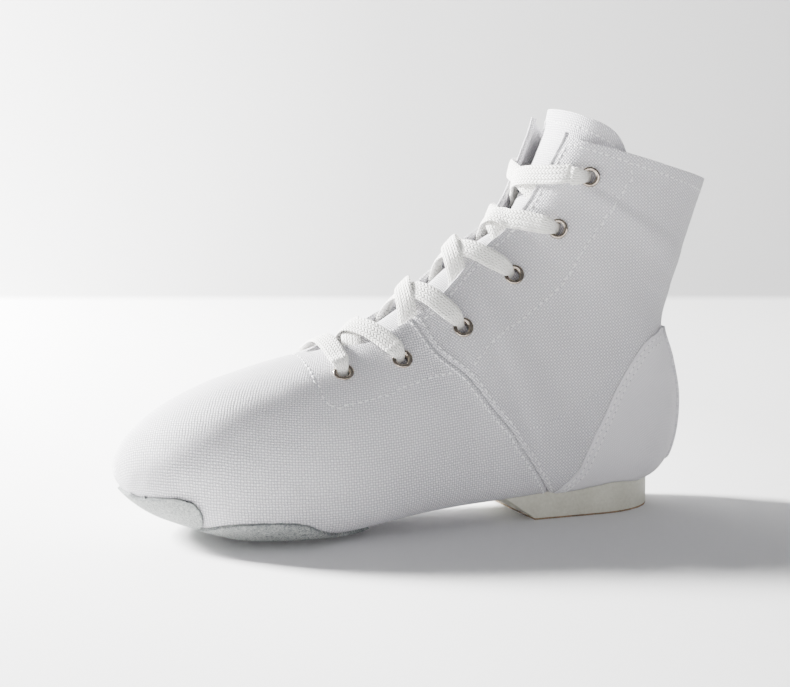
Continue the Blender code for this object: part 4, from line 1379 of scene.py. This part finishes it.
def make_stage():
    """A pale floor that turns up into a wall behind, square to the camera, its colour painted darker towards
    the right as painted shade for the light falling off.
    """
    facing = math.radians(AZIMUTH)
    material, tree, shader = new_material("pale paper painted darker to the right")
    spot = place_in_shoe(tree)
    # Painted shade: the paper's colour darkens from left to right, standing in for the light's falloff across
    # floor and wall.
    grain = value_node(tree, "MULTIPLY", noise_node(tree, spot, 300, 2), 0.02)
    along = value_node(tree, "ADD", value_node(tree, "ADD", split_node(tree, spot)[0], grain), 0.14)
    stops = ((0.0, (0.88, 0.88, 0.88)), (0.32, (0.56, 0.56, 0.56)))
    tree.links.new(colour_node(tree, along, stops), shader.inputs["Base Color"])
    shader.inputs["Roughness"].default_value = 0.9
    deselect()
    bpy.ops.mesh.primitive_plane_add(size=1)
    floor = name_piece(bpy.context.object, "floor_and_wall")
    bpy.ops.object.mode_set(mode="EDIT")
    bpy.ops.mesh.select_all(action="SELECT")
    bpy.ops.transform.resize(value=(7, 4, 1))
    bpy.ops.transform.translate(value=(0, -1.36, 0))
    bpy.ops.object.mode_set(mode="OBJECT")
    for edge in floor.data.edges:
        edge.select = all(floor.data.vertices[corner].co.y > 0 for corner in edge.vertices)
    for part in (*floor.data.vertices, *floor.data.polygons):
        part.select = False
    bpy.ops.object.mode_set(mode="EDIT")
    bpy.ops.mesh.select_mode(type="EDGE")
    bpy.ops.mesh.extrude_region_move(TRANSFORM_OT_translate={"value": (0, 0, 3)})
    bpy.ops.object.mode_set(mode="OBJECT")
    turn = Matrix.Rotation(facing, 4, "Z")
    floor.data.transform(turn)
    corner = floor.modifiers.new("soft corner", "BEVEL")
    corner.width = 0.004
    corner.segments = 4
    apply_all(floor)
    floor.data.shade_smooth()
    floor.data.materials.append(material)


def add_light(name, place, target, size, power, colour):
    """A rectangular light that faces its target."""
    light = bpy.data.lights.new(name, "AREA")
    light.shape = "RECTANGLE"
    light.size, light.size_y = size
    light.energy = power
    light.color = colour
    lamp = bpy.data.objects.new(name, light)
    bpy.context.scene.collection.objects.link(lamp)
    lamp.location = place
    lamp.rotation_euler = (Vector(target) - Vector(place)).to_track_quat("-Z", "Y").to_euler()


def light_scene():
    """A low window behind the toe, a weak fill in front and a pale room."""
    add_light("window", (-0.78, 0.90, 0.56), (-0.06, 0, 0.04), (0.26, 0.26), 240, (1.0, 0.995, 0.985))
    add_light("front_fill", (-0.6, -2.1, 0.22), (-0.05, 0, 0.03), (2.4, 0.5), 21, (0.99, 0.965, 1.0))
    world = bpy.data.worlds.new("studio")
    world.use_nodes = True
    world.node_tree.nodes["Background"].inputs["Color"].default_value = (0.93, 0.95, 1.0, 1)
    world.node_tree.nodes["Background"].inputs["Strength"].default_value = 0.31
    bpy.context.scene.world = world


def place_camera():
    """The camera's place, from where the heel's front corner is in the photo."""
    turn, rise = math.radians(AZIMUTH), math.radians(ELEVATION)
    back = Vector((math.sin(turn) * math.cos(rise), -math.cos(turn) * math.cos(rise), math.sin(rise)))
    right = Vector((math.cos(turn), math.sin(turn), 0))
    up = back.cross(right)
    across = (HEEL_CORNER_POINT[0] - CENTRE_POINT[0]) / FOCAL_POINTS
    down = (HEEL_CORNER_POINT[1] - CENTRE_POINT[1]) / FOCAL_POINTS
    place = HEEL_CORNER + (back - right * across + up * down) * DISTANCE
    data = bpy.data.cameras.new("camera")
    data.sensor_width = 36
    data.lens = 36 * FOCAL_POINTS / PICTURE[0]
    data.shift_y = -(PICTURE[1] / 2 - CENTRE_POINT[1]) / PICTURE[0]
    data.clip_start, data.clip_end = 0.01, 20
    camera = bpy.data.objects.new("camera", data)
    bpy.context.scene.collection.objects.link(camera)
    camera.matrix_world = Matrix.Translation(place) @ Matrix((right, up, back)).transposed().to_4x4()
    bpy.context.scene.camera = camera


# Fibres along each half of a patch's edge together
FIBRES = 420


def fray(name, edge, suede):
    """Loose fibres along a patch's cut edge, on both sides."""
    random = np.random.default_rng(4)
    deselect()
    bpy.ops.mesh.primitive_cone_add(
        vertices=3, radius1=0.00007, radius2=0.00001, depth=0.001, location=(0, 0, 0.0004)
    )
    model = bpy.context.object
    bpy.ops.object.transform_apply(location=True)
    places = []
    row, angle = even_stops(edge, random.uniform(0.02, 0.98, FIBRES))
    for u, turn, side in zip(row, angle, random.choice((-1, 1), FIBRES)):
        point = skin(u, side * turn, 0.0001 + 0.0012 * random.uniform())
        away = last(u, side * (turn - 0.02)) - last(u, side * turn)
        normal = outward(u, side * turn)
        away /= max(np.linalg.norm(away), 1e-9)
        reach = away * random.uniform(-0.3, 1.0) + normal * random.uniform(0, 0.8)
        reach += random.normal(size=3) * 0.5
        turned = Vector(reach).to_track_quat("Z", "Y").to_matrix().transposed()
        places.append((point, np.array(turned) * random.uniform(0.5, 1.3)))
    item = scatter(name, model, places, suede, "suede")
    lay_pattern(item, np.full((len(item.data.vertices), 2), 0.0008), "rim")
    bpy.data.objects.remove(model)


def sew_all(cloth, counter, tongue, thread, hole_shade):
    """Every row of stitches on the shoe."""
    # The last argument is the grey of the discs of painted shade at the needle holes.
    stay = on_last(STAY_LINE)
    vamp_stay = on_last(VAMP_STAY_LINE)
    turn = np.linspace(0.006, 0.46, 160)
    seam = mesh_place(np.full(160, SEAM_ROW, float), turn)
    hem_turn = np.linspace(0.02, 0.98, 300)
    hem = mesh_place(np.full(300, 19.62), hem_turn)
    edge = throat_line(7.6, 19.6, 0.0032)
    lines = both_sides(stay) + both_sides(vamp_stay) + both_sides(edge)
    lines += both_sides(beside(seam, 0.0023)) + both_sides(beside(seam, -0.0023)) + [hem]
    sew("quarter_stitching", lines, cloth, thread, hole_shade)
    rim = smooth_line(COUNTER_EDGE[1:-1])
    rim = (rim[:, 0], np.radians(rim[:, 1]))
    rows = both_sides(beside(rim, -0.0018)) + both_sides(beside(rim, -0.0042))
    sew("counter_stitching", rows, [counter], thread, hole_shade)
    across = np.linspace(-0.94, 0.94, 120)
    line = (tongue_top(across) - 0.42, across * math.radians(TONGUE_TOP_REACH))
    sew("tongue_stitching", [line], [tongue], thread, hole_shade)


def main():
    # The dark colour of each woven cloth is painted shade in the gaps between its threads.
    canvas = woven_cloth("white canvas", 0.00095, (0.88, 0.87, 0.88), (0.38, 0.37, 0.41), depth=0.0005)
    heel_canvas = woven_cloth("counter canvas", 0.0006, (0.84, 0.83, 0.84), (0.58, 0.57, 0.60))
    lining = woven_cloth("insole cloth", 0.0005, (0.82, 0.82, 0.82), (0.66, 0.66, 0.66), place_in_shoe)
    braid, thread, suede = braid_material(), thread_material(), suede_material()
    rubber = rubber_material("heel rubber", (0.42, 0.415, 0.335), (0.58, 0.575, 0.49), 0.55, 900)
    tread = rubber_material("tread rubber", (0.05, 0.03, 0.02), (0.34, 0.24, 0.14), 0.75, 1500)
    nickel = nickel_material()
    # Grey for the discs of painted shade at the needle holes.
    hole_shade = rubber_material("painted needle hole shade", (0.30, 0.30, 0.32), (0.42, 0.42, 0.44), 0.9, 900)

    make_stage()
    light_scene()
    place_camera()

    vamp = make_canvas("vamp_canvas", VAMP_ROWS, CANVAS_COLUMNS, VAMP_GRAIN, (1,))
    quarters = make_canvas("quarter_canvas", QUARTER_ROWS, CANVAS_COLUMNS, QUARTER_GRAIN, (1, -1))
    finish(vamp, canvas, "canvas", "vamp")
    finish(quarters, canvas, "canvas", "quarter_out", "quarter_in")
    counter = make_overlay("counter_canvas", COUNTER_EDGE, COUNTER_MIDDLE, 60, 90, 0.0002, 0.0006)
    finish(counter, heel_canvas, "canvas", "counter")
    finish(make_back_strip(), heel_canvas, "canvas", "back_strip")
    for edge in make_rolled_edges():
        finish(edge, canvas, "canvas")
    tongue = finish(make_tongue(), canvas, "canvas", "tongue")
    toe = make_overlay("toe_suede", TOE_PATCH_EDGE, TOE_PATCH_MIDDLE, 60, 90, 0.0001, 0.0013, 0.02)
    finish(toe, suede, "suede", "toe_patch")
    ball = make_overlay("ball_suede", BALL_PATCH_EDGE, BALL_PATCH_MIDDLE, 90, 110, 0.0001, 0.0014, 0.02)
    finish(ball, suede, "suede", "ball_patch")
    finish(make_heel_block((vamp, quarters, counter)), rubber, "heel_rubber", "heel")
    finish(make_heel_tread(), tread, "tread_rubber", "heel_tread")
    set_eyelets(nickel)
    lace_up(braid)
    sew_all((vamp, quarters), counter, tongue, thread, hole_shade)
    fray("toe_suede_fibres", TOE_PATCH_EDGE, suede)
    fray("ball_suede_fibres", BALL_PATCH_EDGE, suede)
    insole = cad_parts["insole"]
    insole.data.materials.clear()
    insole.data.materials.append(lining)


main()
